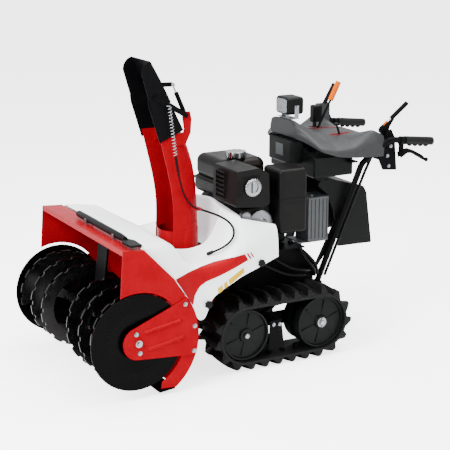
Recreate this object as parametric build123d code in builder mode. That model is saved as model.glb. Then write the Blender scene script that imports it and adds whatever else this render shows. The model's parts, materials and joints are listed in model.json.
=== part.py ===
from build123d import *

import math
import os

# A walk-behind two stage snow thrower on rubber tracks, in millimetres.
# +Z is up, the machine drives towards -Y, its left side is +X, and the
# origin lies on the ground under the middle of the machine.

os.makedirs("parts", exist_ok=True)

# ---- driving dimensions -------------------------------------------------

AUGER_Y, AUGER_Z = -636.0, 230.0        # auger axle, along X
DISC_RADIUS = 190.0                     # round side discs of the auger
FLIGHT_INNER, FLIGHT_OUTER = 126.0, 180.0
FLIGHT_PITCH = 118.0
HALF_WIDTH = 410.0                      # outer face of the housing's side plates
SHEET = 3.0                             # steel sheet of the housing
CREST_RADIUS = 257.0                    # back of the housing about the auger axle
WORM_OFFSET = 50.0                      # the worm runs above the auger axle
IMPELLER_Z = AUGER_Z + WORM_OFFSET
CASING_RADIUS = 150.0                   # inside of the impeller casing
CASING_BACK = -172.0
CHUTE_Y = -262.0                        # turning axis of the chute
CHUTE_RADIUS = 82.0
CHUTE_FOOT, CHUTE_TOP = 461.0, 950.0
AXLE_Z = 150.0                          # both track axles
FRONT_AXLE_Y, REAR_AXLE_Y = -121.0, 235.0
BELT_INNER, BELT_OUTER = 110.0, 122.0
TRACK_INSIDE, TRACK_OUTSIDE = 178.0, 338.0
LUG_COUNT = 23
GRIP_X, GRIP_END_Y = 256.0, 826.0
RUNNING = 0.05                          # radial gap of a shaft in its bush
CLEAR = 0.4                             # gap between moving neighbours

pieces = {}


def keep(name, builder):
    """Stores a finished piece under its node name."""
    pieces[name] = builder


def side_plane(x):
    """A plane across the machine at x: sketch X is world Y, sketch Y is world Z."""
    return Plane((x, 0, 0), x_dir=(0, 1, 0), z_dir=(1, 0, 0))


def around(radius, degrees, y=AUGER_Y, z=AUGER_Z):
    """A (Y, Z) point on a circle about an axle that runs along X."""
    turn = math.radians(degrees)
    return (y + radius * math.cos(turn), z + radius * math.sin(turn))


def plate(outline, x_from, x_to, holes=()):
    """A flat plate with a polygon outline in YZ; holes are (y, z, radius)."""
    with BuildPart() as made:
        with BuildSketch(side_plane(x_from)):
            with BuildLine():
                Polyline(*outline, close=True)
            make_face()
            for y, z, radius in holes:
                with Locations((y, z)):
                    Circle(radius, mode=Mode.SUBTRACT)
        extrude(amount=x_to - x_from)
    return made.part


def rod(start, end, radius, bore=0.0):
    """A round bar or tube between two points."""
    line = Vector(*end) - Vector(*start)
    with BuildPart() as made:
        with BuildSketch(Plane(start, z_dir=line)):
            Circle(radius)
            if bore:
                Circle(bore, mode=Mode.SUBTRACT)
        extrude(amount=line.length)
    return made.part


def block(low, high, rounding=0.0):
    """A box between two corners, with its long edges rounded."""
    size = [b - a for a, b in zip(low, high)]
    middle = [(a + b) / 2 for a, b in zip(low, high)]
    with BuildPart() as made:
        with Locations(tuple(middle)):
            Box(*size)
        if rounding:
            fillet(made.edges(), rounding)
    return made.part


def turned(profile, y, z):
    """A body turned about an axle along X at (y, z); profile is (x, radius) points."""
    axle = Plane((0, y, z), x_dir=(1, 0, 0), z_dir=(0, -1, 0))
    with BuildPart() as made:
        with BuildSketch(axle):
            with BuildLine():
                Polyline(*profile, close=True)
            make_face()
        revolve(axis=Axis((0, y, z), (1, 0, 0)))
    return made.part


def join(*solids):
    """One piece from solids that touch or overlap."""
    with BuildPart() as made:
        for solid in solids:
            add(solid)
    return made


def mirrored(builder):
    """The same piece on the other side of the machine."""
    with BuildPart() as made:
        add(mirror(builder.part, about=Plane.YZ))
    return made


def both_sides(builder):
    """One node that holds a piece and its mirror image as separate solids."""
    with BuildPart() as made:
        add(builder.part)
        add(mirror(builder.part, about=Plane.YZ))
    return made


# ---- auger housing ------------------------------------------------------

TOP_FRONT, TOP_REAR, SLOPE_FOOT = (-689, 597), (-605, 591), (-479, 459)
CREST_START, CREST_END = 45, -52        # degrees about the auger axle
MOUTH_RADIUS = 198.0                    # side opening that the disc fills


def outer_skin_region():
    """Everything inside the back sheet's outer face, as sketch lines."""
    Polyline(around(CREST_RADIUS, CREST_END), (-720, 20), (-720, 597), TOP_FRONT)
    Polyline(TOP_FRONT, TOP_REAR, SLOPE_FOOT, around(CREST_RADIUS, CREST_START))
    ThreePointArc(around(CREST_RADIUS, CREST_START), around(CREST_RADIUS, -5),
                  around(CREST_RADIUS, CREST_END))


with BuildPart() as auger_housing:
    # back and top sheet, bent from one piece
    with BuildSketch(side_plane(-HALF_WIDTH)):
        with BuildLine():
            Polyline(TOP_FRONT, TOP_REAR, SLOPE_FOOT, around(CREST_RADIUS, CREST_START))
            ThreePointArc(around(CREST_RADIUS, CREST_START), around(CREST_RADIUS, -5),
                          around(CREST_RADIUS, CREST_END))
            Line(around(CREST_RADIUS, CREST_END), around(CREST_RADIUS - SHEET, CREST_END))
            ThreePointArc(around(CREST_RADIUS - SHEET, CREST_END),
                          around(CREST_RADIUS - SHEET, -5),
                          around(CREST_RADIUS - SHEET, CREST_START))
            Polyline(around(CREST_RADIUS - SHEET, CREST_START), (-481.2, 456.9),
                     (-606.3, 588.1), (-689, 594), TOP_FRONT)
        make_face()
    extrude(amount=2 * HALF_WIDTH)
    # front lip, folded down
    with Locations((0, -690.5, 587)):
        Box(2 * HALF_WIDTH, SHEET, 20)
    # side plates with the round mouth for the disc
    for x in (-HALF_WIDTH, HALF_WIDTH - SHEET):
        with BuildSketch(side_plane(x)):
            with BuildLine():
                Polyline((-692, 597), TOP_REAR, SLOPE_FOOT, around(CREST_RADIUS, CREST_START))
                ThreePointArc(around(CREST_RADIUS, CREST_START), around(CREST_RADIUS, -5),
                              around(CREST_RADIUS, CREST_END))
                Polyline(around(CREST_RADIUS, CREST_END), (-542, 31), around(MOUTH_RADIUS, -60))
                ThreePointArc(around(MOUTH_RADIUS, -60), around(MOUTH_RADIUS, 25),
                              around(MOUTH_RADIUS, 110.5))
                Polyline(around(MOUTH_RADIUS, 110.5), (-692, 597))
            make_face()
        extrude(amount=SHEET)
    # opening into the impeller casing
    with BuildSketch(Plane((0, -480, IMPELLER_Z), x_dir=(1, 0, 0), z_dir=(0, 1, 0))):
        Circle(CASING_RADIUS)
    extrude(amount=110, mode=Mode.SUBTRACT)
keep("auger_housing", auger_housing)

with BuildPart() as scraper_blade:
    # wearing edge bolted under the back sheet
    with BuildSketch(side_plane(-HALF_WIDTH + 8)):
        with BuildLine():
            Polyline((-479, 24), (-545, 16), (-545, 11), (-478, 18), close=True)
        make_face()
    extrude(amount=2 * HALF_WIDTH - 16)
keep("scraper_blade", scraper_blade)

with BuildPart() as gearbox_stay:
    # flat strap that steadies the gear case from the back sheet
    with BuildSketch(side_plane(-46)):
        with BuildLine():
            Polyline((-590, 566), (-582, 558), (-612, 318), (-640, 304), (-640, 312),
                     (-620, 322), close=True)
        make_face()
    extrude(amount=92)
keep("gearbox_stay", gearbox_stay)

ARM_IN, ARM_OUT = HALF_WIDTH + 0.5, HALF_WIDTH + 5.5
AXLE_RADIUS = 14.0

with BuildPart() as auger_arm:
    # pressed arm that carries the axle outside the disc
    with BuildSketch(side_plane(ARM_IN)):
        with Locations((AUGER_Y, AUGER_Z)):
            Circle(64)
        with Locations((-399, 393), (-371, 146)):
            Circle(0.5)
        make_hull()
        with Locations((AUGER_Y, AUGER_Z)):
            Circle(252, mode=Mode.INTERSECT)
            Circle(AXLE_RADIUS + RUNNING, mode=Mode.SUBTRACT)
    extrude(amount=ARM_OUT - ARM_IN)
    # two raised ribs
    with BuildSketch(side_plane(ARM_OUT)):
        for y, z, tilt in ((-534, 283, 9.2), (-522, 214.5, 10.3)):
            with Locations(Location((y, z, 0), (0, 0, tilt))):
                SlotOverall(158, 15)
    extrude(amount=5, taper=38)
    # boss around the axle
    with BuildSketch(side_plane(ARM_OUT)):
        with Locations((AUGER_Y, AUGER_Z)):
            Circle(19)
            Circle(AXLE_RADIUS + RUNNING, mode=Mode.SUBTRACT)
    extrude(amount=3)
keep("auger_arms", both_sides(auger_arm))

# ---- auger --------------------------------------------------------------

WORM_RADIUS, WHEEL_RADIUS = 13.0, 34.0

auger_shaft = join(
    turned([(-419, 0), (-419, AXLE_RADIUS), (419, AXLE_RADIUS), (419, 0)], AUGER_Y, AUGER_Z),
    turned([(-14, 0), (-14, WHEEL_RADIUS), (14, WHEEL_RADIUS), (14, 0)], AUGER_Y, AUGER_Z),
    turned([(419, 0), (419, 9), (426, 8), (426, 0)], AUGER_Y, AUGER_Z),
    turned([(-426, 0), (-426, 8), (-419, 9), (-419, 0)], AUGER_Y, AUGER_Z),
)
keep("auger_shaft", auger_shaft)

disc = join(turned([(398, AXLE_RADIUS), (391, 60), (398, 120), (398, DISC_RADIUS),
                    (402, DISC_RADIUS), (402, 120), (395, 60), (402, AXLE_RADIUS)],
                   AUGER_Y, AUGER_Z))
keep("auger_discs", both_sides(disc))

SLEEVE_START, SLEEVE_END = 62.0, 390.0
FLIGHT_START, FLIGHT_LENGTH = 78.0, 300.0
middle_radius = (FLIGHT_INNER + FLIGHT_OUTER) / 2

with BuildPart() as auger_flight:
    # sleeve on the axle
    add(turned([(SLEEVE_START, AXLE_RADIUS), (SLEEVE_START, 21), (SLEEVE_END, 21),
                (SLEEVE_END, AXLE_RADIUS)], AUGER_Y, AUGER_Z))
    # ribbon
    with BuildLine() as ribbon_path:
        Helix(pitch=FLIGHT_PITCH, height=FLIGHT_LENGTH, radius=middle_radius,
              center=(FLIGHT_START, AUGER_Y, AUGER_Z), direction=(1, 0, 0))
    start = ribbon_path.line @ 0
    outwards = Vector(0, start.Y - AUGER_Y, start.Z - AUGER_Z)
    with BuildSketch(Plane(start, x_dir=outwards, z_dir=ribbon_path.line % 0)):
        Rectangle(FLIGHT_OUTER - FLIGHT_INNER, 5)
    sweep(path=ribbon_path.line, is_frenet=True)
    # flat spokes from the sleeve to the ribbon
    for share in (0.04, 0.30, 0.56, 0.82, 0.97):
        foot = ribbon_path.line @ share
        reach = Vector(0, foot.Y - AUGER_Y, foot.Z - AUGER_Z).normalized()
        across = reach.cross(Vector(1, 0, 0))
        hub = Vector(foot.X, AUGER_Y, AUGER_Z) + reach * 16
        with BuildSketch(Plane(hub, x_dir=across, z_dir=reach)):
            Rectangle(34, 7)
        extrude(amount=middle_radius - 22)
keep("auger_flights", both_sides(auger_flight))

with BuildPart() as gear_case:
    # worm gear case: wheel chamber, worm tunnel and two axle hubs
    add(turned([(-30, 0), (-30, 56), (30, 56), (30, 0)], AUGER_Y, AUGER_Z))
    add(turned([(-54, 0), (-54, 24), (54, 24), (54, 0)], AUGER_Y, AUGER_Z))
    add(rod((0, -704, IMPELLER_Z), (0, -560, IMPELLER_Z), 24))
    add(turned([(-20, 0), (-20, 44), (20, 44), (20, 0)], AUGER_Y, AUGER_Z), mode=Mode.SUBTRACT)
    add(rod((0, -692, IMPELLER_Z), (0, -585, IMPELLER_Z), 16), mode=Mode.SUBTRACT)
    add(rod((0, -600, IMPELLER_Z), (0, -555, IMPELLER_Z), 12 + RUNNING), mode=Mode.SUBTRACT)
    add(rod((-60, AUGER_Y, AUGER_Z), (60, AUGER_Y, AUGER_Z), AXLE_RADIUS + RUNNING),
        mode=Mode.SUBTRACT)
    # pad that takes the stay
    with Locations((0, -628, 297)):
        Box(60, 40, 13)
    add(rod((0, -692, IMPELLER_Z), (0, -585, IMPELLER_Z), 16), mode=Mode.SUBTRACT)
keep("gear_case", gear_case)

# ---- impeller -----------------------------------------------------------

with BuildPart() as impeller_casing:
    add(rod((0, -470, IMPELLER_Z), (0, CASING_BACK, IMPELLER_Z), CASING_RADIUS + SHEET))
    # snow spout under the chute
    add(rod((0, CHUTE_Y, IMPELLER_Z + 120), (0, CHUTE_Y, 452), CHUTE_RADIUS))
    add(rod((0, -480, IMPELLER_Z), (0, CASING_BACK - 4, IMPELLER_Z), CASING_RADIUS),
        mode=Mode.SUBTRACT)
    add(rod((0, CHUTE_Y, IMPELLER_Z + 60), (0, CHUTE_Y, 460), CHUTE_RADIUS - SHEET),
        mode=Mode.SUBTRACT)
    with BuildSketch(side_plane(-300)):
        with BuildLine():
            outer_skin_region()
        make_face()
    extrude(amount=600, mode=Mode.SUBTRACT)
    # bearing boss in the rear wall
    add(rod((0, CASING_BACK - 30, IMPELLER_Z), (0, CASING_BACK, IMPELLER_Z), 30))
    add(rod((0, CASING_BACK - 40, IMPELLER_Z), (0, CASING_BACK + 10, IMPELLER_Z), 12 + RUNNING),
        mode=Mode.SUBTRACT)
keep("impeller_casing", impeller_casing)

PULLEY_Y = -98.0

impeller_shaft = join(
    rod((0, -688, IMPELLER_Z), (0, -70, IMPELLER_Z), 12),
    rod((0, -672, IMPELLER_Z), (0, -602, IMPELLER_Z), WORM_RADIUS),
)
keep("impeller_shaft", impeller_shaft)

with BuildPart() as impeller_fan:
    # hub with four paddles
    add(rod((0, -370, IMPELLER_Z), (0, -208, IMPELLER_Z), 26, 12))
    with Locations((0, -212, IMPELLER_Z)):
        Cylinder(96, 4, rotation=(90, 0, 0))
    with PolarLocations(0, 1):
        for quarter in range(4):
            with BuildSketch(Plane((0, -368, IMPELLER_Z), x_dir=(1, 0, 0), z_dir=(0, 1, 0))):
                with Locations(Location((0, 0, 0), (0, 0, 90 * quarter))):
                    with Locations((84, 0)):
                        Rectangle(124, 6)
                    with Locations(Location((141, -7, 0), (0, 0, 60))):
                        Rectangle(17, 6)
            extrude(amount=158)
    add(rod((0, -380, IMPELLER_Z), (0, -200, IMPELLER_Z), 12), mode=Mode.SUBTRACT)
keep("impeller_fan", impeller_fan)


def pulley(z, radius, bore):
    """A V-groove pulley on an axle along Y."""
    centre = Plane((0, PULLEY_Y, z), x_dir=(1, 0, 0), z_dir=(0, 0, 1))
    with BuildPart() as made:
        with BuildSketch(centre):
            with BuildLine():
                Polyline((bore, -14), (radius, -14), (radius, -9), (radius - 13, -3),
                         (radius - 13, 3), (radius, 9), (radius, 14), (bore, 14), close=True)
            make_face()
        revolve(axis=Axis((0, PULLEY_Y, z), (0, 1, 0)))
    return made


IMPELLER_PULLEY, ENGINE_PULLEY, CRANK_Z = 88.0, 46.0, 545.0
keep("impeller_pulley", pulley(IMPELLER_Z, IMPELLER_PULLEY, 12))


def belt_outline(grow):
    """The belt's outline around both pulleys, as a hull of two circles."""
    with Locations((0, IMPELLER_Z)):
        Circle(IMPELLER_PULLEY - 9 + grow)
    with Locations((0, CRANK_Z)):
        Circle(ENGINE_PULLEY - 9 + grow)
    make_hull()


with BuildPart() as drive_belt:
    with BuildSketch(Plane((0, PULLEY_Y - 4, 0), x_dir=(-1, 0, 0), z_dir=(0, 1, 0))):
        belt_outline(8)
    extrude(amount=8)
    with BuildSketch(Plane((0, PULLEY_Y - 4, 0), x_dir=(-1, 0, 0), z_dir=(0, 1, 0))):
        belt_outline(0)
    extrude(amount=8, mode=Mode.SUBTRACT)
keep("drive_belt", drive_belt)

engine_pulley = pulley(CRANK_Z, ENGINE_PULLEY, 0)
with engine_pulley:
    # crankshaft end in the engine's front bush
    add(rod((0, PULLEY_Y, CRANK_Z), (0, -40, CRANK_Z), 14))
keep("engine_pulley", engine_pulley)

# ---- chute --------------------------------------------------------------

CHUTE_TEETH, PINION_TEETH, GEAR_MODULE = 44, 11, 4.0


def gear(teeth, x, y, low, high, bore, first_tooth=0.0):
    """A spur gear with plain tapered teeth on an upright axle."""
    pitch_radius = teeth * GEAR_MODULE / 2
    with BuildPart() as made:
        with BuildSketch(Plane((x, y, low))):
            Circle(pitch_radius - 3.6)
            with PolarLocations(pitch_radius - 0.6, teeth, start_angle=first_tooth):
                Trapezoid(5.6, 7.0, 76, rotation=-90)
            if bore:
                Circle(bore, mode=Mode.SUBTRACT)
        extrude(amount=high - low)
    return made


keep("chute_ring_gear", gear(CHUTE_TEETH, 0, CHUTE_Y, 453.5, CHUTE_FOOT, CHUTE_RADIUS - SHEET, 90))

PINION_Y = CHUTE_Y + (CHUTE_TEETH + PINION_TEETH) * GEAR_MODULE / 2
chute_pinion = gear(PINION_TEETH, 0, PINION_Y, 454, 460.5, 0, 90)
with chute_pinion:
    add(rod((0, PINION_Y, 425), (0, PINION_Y, 456), 6))
keep("chute_pinion", chute_pinion)

# height, centre of the round back, front edge of the side walls
CHUTE_STATIONS = (
    (468, -262, -321), (560, -263, -321), (680, -268, -323),
    (800, -283, -344), (880, -306, -363), (CHUTE_TOP, -337, -380),
)


def channel(radius, reach, low_trim=0.0, high_trim=0.0):
    """The chute's U-shaped channel, lofted up its height."""
    last = len(CHUTE_STATIONS) - 1
    with BuildPart() as made:
        for index, (z, back, front) in enumerate(CHUTE_STATIONS):
            level = z - low_trim if index == 0 else z + high_trim if index == last else z
            with BuildSketch(Plane.XY.offset(level)):
                with BuildLine():
                    Polyline((radius, back), (radius, front - reach),
                             (-radius, front - reach), (-radius, back))
                    ThreePointArc((-radius, back), (0, back + radius), (radius, back))
                make_face()
        loft()
    return made.part


STAY_Y, STAY_Z = -264.0, 1020.0          # pin of the stay in the chute's ear
STRUT_Y, STRUT_Z = -252.0, 1024.0       # lower strut pin

with BuildPart() as chute_tube:
    add(channel(CHUTE_RADIUS, 0))
    add(channel(CHUTE_RADIUS - 2.5, 60, low_trim=2, high_trim=2), mode=Mode.SUBTRACT)
    # rolled collar that closes the foot all round
    add(rod((0, CHUTE_Y, CHUTE_FOOT), (0, CHUTE_Y, 546), CHUTE_RADIUS + 1.2, CHUTE_RADIUS - 1))
    # foot flange
    add(rod((0, CHUTE_Y, CHUTE_FOOT), (0, CHUTE_Y, CHUTE_FOOT + 4), CHUTE_RADIUS + 4,
            CHUTE_RADIUS - 1))
    # ears on the back that carry the stay and the strut
    for x in (76, -82):
        with BuildSketch(side_plane(x)):
            with BuildLine():
                Polyline((-325, 898), (-262, 905), (-240, 950), (-236, 1005), (-243, 1034),
                         (-264, 1034), (-276, 1014), (-268, 964), (-272, 952), (-318, 946), close=True)
            make_face()
            with Locations((STAY_Y, STAY_Z)):
                Circle(4, mode=Mode.SUBTRACT)
        extrude(amount=6)
    add(rod((41, STRUT_Y, STRUT_Z), (78, STRUT_Y, STRUT_Z), 4))
keep("chute_tube", chute_tube)

# ---- deflector ----------------------------------------------------------

HINGE_Y, HINGE_Z = -396.0, 1101.0       # cap hinge
ARM_Y, ARM_Z = -303.0, 1141.0           # cap's rear arm eye
LOWER_X, UPPER_X, STAY_X = 82.4, 85.6, 89.0
SPRING_HOOK_X = 108.0

with BuildPart() as deflector_lower:
    # black neck riveted to the chute
    wall = [(-379, 918), (-424, 1062), (-428, 1092), (-404, 1112), (-380, 1108), (-352, 1078),
            (-329, 1073), (-274, 962)]
    for x in (LOWER_X, -LOWER_X - 2.5):
        add(plate(wall, x, x + 2.5, holes=[(HINGE_Y, HINGE_Z, 5)]))
    back = [(-276, 964), (-331, 1073), (-334, 1072), (-279, 962)]
    add(plate(back, -LOWER_X - 2, LOWER_X + 2))
keep("deflector_lower", deflector_lower)

with BuildPart() as deflector_upper:
    # swinging cap with rounded cheeks
    with BuildSketch(side_plane(UPPER_X)) as cheek:
        with BuildLine():
            Polyline((-362, 1052), (-330, 1080), (-369, 1159), (-416, 1244))
            ThreePointArc((-416, 1244), (-443, 1228), (-455, 1194))
            Polyline((-455, 1194), (-416, 1062))
            ThreePointArc((-416, 1062), (-395, 1036), (-362, 1052))
        make_face()
        with Locations((HINGE_Y, HINGE_Z)):
            Circle(5 + RUNNING, mode=Mode.SUBTRACT)
    extrude(amount=2.5)
    with BuildSketch(side_plane(-UPPER_X - 2.5)):
        add(cheek.sketch_local)
    extrude(amount=2.5)
    add(plate([(-337, 1094), (-369, 1159), (-416, 1244), (-419, 1243), (-372, 1158),
               (-340, 1093)], -UPPER_X - 2, UPPER_X + 2))
    # arm behind the cap with the strut's eye
    add(plate([(-372, 1134), (-303, 1132), (-294, 1141), (-303, 1150), (-376, 1152)], 38, 43,
              holes=[(ARM_Y, ARM_Z, 4 + RUNNING)]))
keep("deflector_upper", deflector_upper)

with BuildPart() as deflector_stay:
    # flat bar from the chute's ear to the cap hinge, with the hinge pins
    add(plate([(-402, 1110), (-388, 1111), (-262, 1031), (-254, 1020), (-266, 1011),
               (-404, 1092), (-410, 1101)], STAY_X, STAY_X + 5))
    add(rod((LOWER_X - 3, HINGE_Y, HINGE_Z), (STAY_X + 9, HINGE_Y, HINGE_Z), 5))
    add(rod((76, STAY_Y, STAY_Z), (STAY_X + 9, STAY_Y, STAY_Z), 4))
    add(rod((STAY_X, -347, 1071), (SPRING_HOOK_X, -347, 1071), 2.5))
    add(rod((-LOWER_X - 9, HINGE_Y, HINGE_Z), (-LOWER_X + 3, HINGE_Y, HINGE_Z), 5))
keep("deflector_stay", deflector_stay)

strut_line = Vector(0, ARM_Y - STRUT_Y, ARM_Z - STRUT_Z)
strut_way = strut_line.normalized()
strut_foot = Vector(50, STRUT_Y, STRUT_Z)

with BuildPart() as strut_barrel:
    add(rod(strut_foot + strut_way * 6, strut_foot + strut_way * 92, 9, 7))
    add(rod(strut_foot - Vector(6, 0, 0), strut_foot + Vector(6, 0, 0), 8.5))
    add(rod(strut_foot - Vector(10, 0, 0), strut_foot + Vector(10, 0, 0), 4 + RUNNING),
        mode=Mode.SUBTRACT)
keep("strut_barrel", strut_barrel)

strut_tip = Vector(50, ARM_Y, ARM_Z)
with BuildPart() as strut_rod:
    add(rod(strut_foot + strut_way * 14, strut_tip - strut_way * 6, 3.5))
    add(rod(strut_tip - Vector(5.5, 0, 0), strut_tip + Vector(6, 0, 0), 7.5))
    add(rod(strut_tip - Vector(15, 0, 0), strut_tip - Vector(4, 0, 0), 4))
keep("strut_rod", strut_rod)

# spring beside the chute, hooked to the stay, and the control cable under it
SPRING_X = 106.0
SPRING_TOP, SPRING_FOOT = Vector(SPRING_X, -347, 1068), Vector(SPRING_X, -322, 868)
SPRING_TURNS = 16

with BuildPart() as deflector_spring:
    spring_line = SPRING_FOOT - SPRING_TOP
    with BuildLine() as coil:
        Helix(pitch=spring_line.length / SPRING_TURNS, height=spring_line.length, radius=8,
              center=SPRING_TOP, direction=spring_line)
    with BuildSketch(Plane(coil.line @ 0, z_dir=coil.line % 0)):
        Circle(1.6)
    sweep(path=coil.line, is_frenet=True)
keep("deflector_spring", deflector_spring)


def cord(route, radius, share=0.45, close_corner=None):
    """A round cord along straight runs with tangent arcs; returns it and its radii."""
    points = [Vector(*point) for point in route]
    radii = []
    for before, here, after in zip(points, points[1:], points[2:]):
        turn = math.radians((here - before).get_angle(after - here))
        shorter = min((here - before).length, (after - here).length)
        radii.append(share * shorter / math.tan(turn / 2))
    with BuildPart() as made:
        with BuildLine() as path:
            FilletPolyline(*points, radius=radii)
        with BuildSketch(Plane(points[0], z_dir=points[1] - points[0])):
            Circle(radius)
        sweep(path=path.line)
    ideal = math.pi * radius ** 2 * path.wire().length
    print("cord", round(path.wire().length), "mm, radii", [round(r) for r in radii],
          "volume ratio", round(made.part.volume / ideal, 4))
    return made


CABLE_RADIUS = 3.5
CHUTE_CABLE = ((SPRING_X, -311.5, 806), (105, -303, 765), (101, -284, 704), (99, -258, 663),
               (103, -234, 643), (113, -216, 637))
FREE_CABLE = ((114.6, -214.2, 636.9), (150, -188, 629), (196, -168, 621), (240, -154, 608),
              (275, -150, 586), (293, -160, 558), (292, -186, 531), (277, -222, 508), (256, -248, 494))

chute_cable = cord(CHUTE_CABLE, CABLE_RADIUS)
with chute_cable:
    # bright end sleeve and eye under the spring
    add(rod((SPRING_X, -321, 864), (SPRING_X, -310.5, 801), 5))
keep("chute_cable", chute_cable)
keep("deflector_cable", cord(FREE_CABLE, CABLE_RADIUS))

# ---- body cover ---------------------------------------------------------

# y, then (half width, height) of the lower edge, shoulder, crown edge and the middle
COVER_STATIONS = (
    (-600, (392, 586), (391, 592), (384, 597), 598),
    (-560, (391, 546), (388, 586), (376, 598), 600),
    (-482, (389, 466), (370, 566), (340, 593), 594),
    (-440, (389, 408), (362, 524), (330, 566), 574),
    (-400, (388, 345), (356, 478), (325, 500), 512),
    (-368, (386, 270), (354, 468), (322, 486), 494),
    (-335, (378, 268), (352, 464), (320, 480), 486),
    (-300, (372, 345), (350, 464), (320, 480), 482),
    (-262, (365, 366), (348, 466), (318, 482), 482),
    (-205, (354, 386), (342, 480), (304, 494), 500),
    (-175, (346, 396), (336, 490), (248, 545), 560),
    (-150, (340, 405), (328, 505), (196, 640), 648),
    (-112, (330, 413), (318, 520), (248, 629), 652),
    (-50, (314, 425), (302, 530), (268, 600), 652),
    (52, (284, 447), (280, 520), (266, 572), 652),
)


def ruled_body(rings):
    """A hollow-free body through (y, outline) rings, straight from each ring to the next."""
    with BuildPart() as made:
        for (y_from, outline_from), (y_to, outline_to) in zip(rings, rings[1:]):
            for y, outline in ((y_from, outline_from), (y_to, outline_to)):
                with BuildSketch(Plane((0, y, 0), x_dir=(-1, 0, 0), z_dir=(0, 1, 0))):
                    with BuildLine():
                        Polyline(*[(-x, z) for x, z in outline], close=True)
                    make_face()
            loft(ruled=True)
    return made.part


def cover_body(inset, drop):
    """The cover's full outer form, or a smaller one to hollow it with."""
    rings = []
    for index, (y, low, shoulder, crown, middle) in enumerate(COVER_STATIONS):
        if index == 0:
            y += inset
        if index == len(COVER_STATIONS) - 1:
            y += 2 * inset
        half = [(low[0] - inset, low[1] - drop), (shoulder[0] - inset, shoulder[1]),
                (crown[0] - inset, crown[1] - inset), (0, middle - inset)]
        rings.append((y, half + [(-x, z) for x, z in reversed(half[:3])]))
    return ruled_body(rings)


WELL_PROFILE = ((100, 466), (123, 488), (150, 670))     # radius and height of the chute well


def well_solid(profile_points):
    """A body turned about the chute's axis."""
    with BuildPart() as made:
        with BuildSketch(Plane((0, CHUTE_Y, 0), x_dir=(1, 0, 0), z_dir=(0, -1, 0))):
            with BuildLine():
                Polyline(*profile_points, close=True)
            make_face()
        revolve(axis=Axis((0, CHUTE_Y, 0), (0, 0, 1)))
    return made.part


with BuildPart() as well_wall:
    add(well_solid([(92, 462.5), (92, 466), *WELL_PROFILE, (153.5, 670), (126.5, 486), (101.5, 462.5)]))
    add(cover_body(0, 30), mode=Mode.INTERSECT)

with BuildPart() as body_cover:
    add(cover_body(0, 0))
    add(cover_body(4, 12), mode=Mode.SUBTRACT)
    add(well_solid([(0, 466), *WELL_PROFILE, (0, 670)]), mode=Mode.SUBTRACT)
    add(well_wall.part)
    # cut-out for the engine
    add(block((-253, -106, 380), (253, 120, 700)), mode=Mode.SUBTRACT)
    # boss where the deflector's cable goes in
    add(rod((253, -252, 479), (253, -252, 489), 9))
keep("body_cover", body_cover)

# ---- frame, engine and transmission --------------------------------------

rail = [(-171, 250), (-171, 415), (-110, 440), (225, 440), (304, 350), (304, 236), (40, 236), (-60, 225)]
with BuildPart() as main_frame:
    for x in (-150, 146):
        add(plate(rail, x, x + 4, holes=[(-100, 300, 26)]))
    add(block((-200, -70, 440), (200, 230, 445)))
    add(block((-146, 296, 240), (146, 302, 320)))
    add(block((-153, -171, 330), (-146, -165, 415)))
    add(block((146, -171, 330), (153, -165, 415)))
    add(block((-60, -163, 405), (60, -112, 411)))       # bridge for the chute motor
    add(block((-146, -118, 405), (146, -112, 411)))
keep("main_frame", main_frame)

with BuildPart() as transmission_case:
    add(block((-104, 22, 262), (104, 236, 424), 12))
    add(block((-64, -158, 112), (64, 60, 184), 10))
    add(block((-50, 10, 180), (50, 70, 300)))
    add(rod((-120, FRONT_AXLE_Y, AXLE_Z), (120, FRONT_AXLE_Y, AXLE_Z), 34))
    add(rod((-125, FRONT_AXLE_Y, AXLE_Z), (-20, FRONT_AXLE_Y, AXLE_Z), 14 + RUNNING),
        mode=Mode.SUBTRACT)
    add(rod((20, FRONT_AXLE_Y, AXLE_Z), (125, FRONT_AXLE_Y, AXLE_Z), 14 + RUNNING),
        mode=Mode.SUBTRACT)
    for x in (-104, 97):
        add(rod((x, 150, 345), (x + 7, 150, 345), 44))
keep("transmission_case", transmission_case)

with BuildPart() as engine_block:
    add(block((-120, -74, 446), (104, 196, 620), 14))
    add(block((80, -70, 470), (188, 70, 636), 10))
    # cooling fins of the cylinder, leaning to the right side
    for step in range(6):
        add(block((-176, -50 + step * 22, 480), (-110, -44 + step * 22, 612)))
    add(block((-150, -44, 500), (-110, 70, 600)))
    add(rod((0, -84, CRANK_Z), (0, -60, CRANK_Z), 34))
    add(rod((0, -90, CRANK_Z), (0, -30, CRANK_Z), 14 + RUNNING), mode=Mode.SUBTRACT)
keep("engine_block", engine_block)

crankcase_cover = join(
    turned([(188, 0), (188, 57), (204, 57), (208, 50), (210, 26), (216, 20), (216, 0)], 15, 568),
    turned([(188, 0), (188, 24), (212, 22), (216, 16), (216, 0)], -56, 606),
)
keep("crankcase_cover", crankcase_cover)

with BuildPart() as fuel_tank:
    # two pressed halves with a seam flange
    add(block((-200, -86, 642), (44, 140, 718), 24))
    add(block((-196, -82, 704), (40, 136, 806), 34))
    add(block((-206, -92, 700), (48, 146, 705)))
    add(rod((0, 12, 796), (0, 12, 812), 36))
    add(rod((0, 12, 780), (0, 12, 830), 30 + RUNNING), mode=Mode.SUBTRACT)
keep("fuel_tank", fuel_tank)

with BuildPart() as fuel_cap:
    add(rod((0, 12, 790), (0, 12, 813), 30))
    with BuildSketch(Plane((0, 12, 812.4))):
        Circle(43)
        with PolarLocations(43, 10):
            Circle(5, mode=Mode.SUBTRACT)
    extrude(amount=24)
    fillet(fuel_cap.faces().sort_by(Axis.Z)[-1].edges(), 3)
keep("fuel_cap", fuel_cap)

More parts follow.
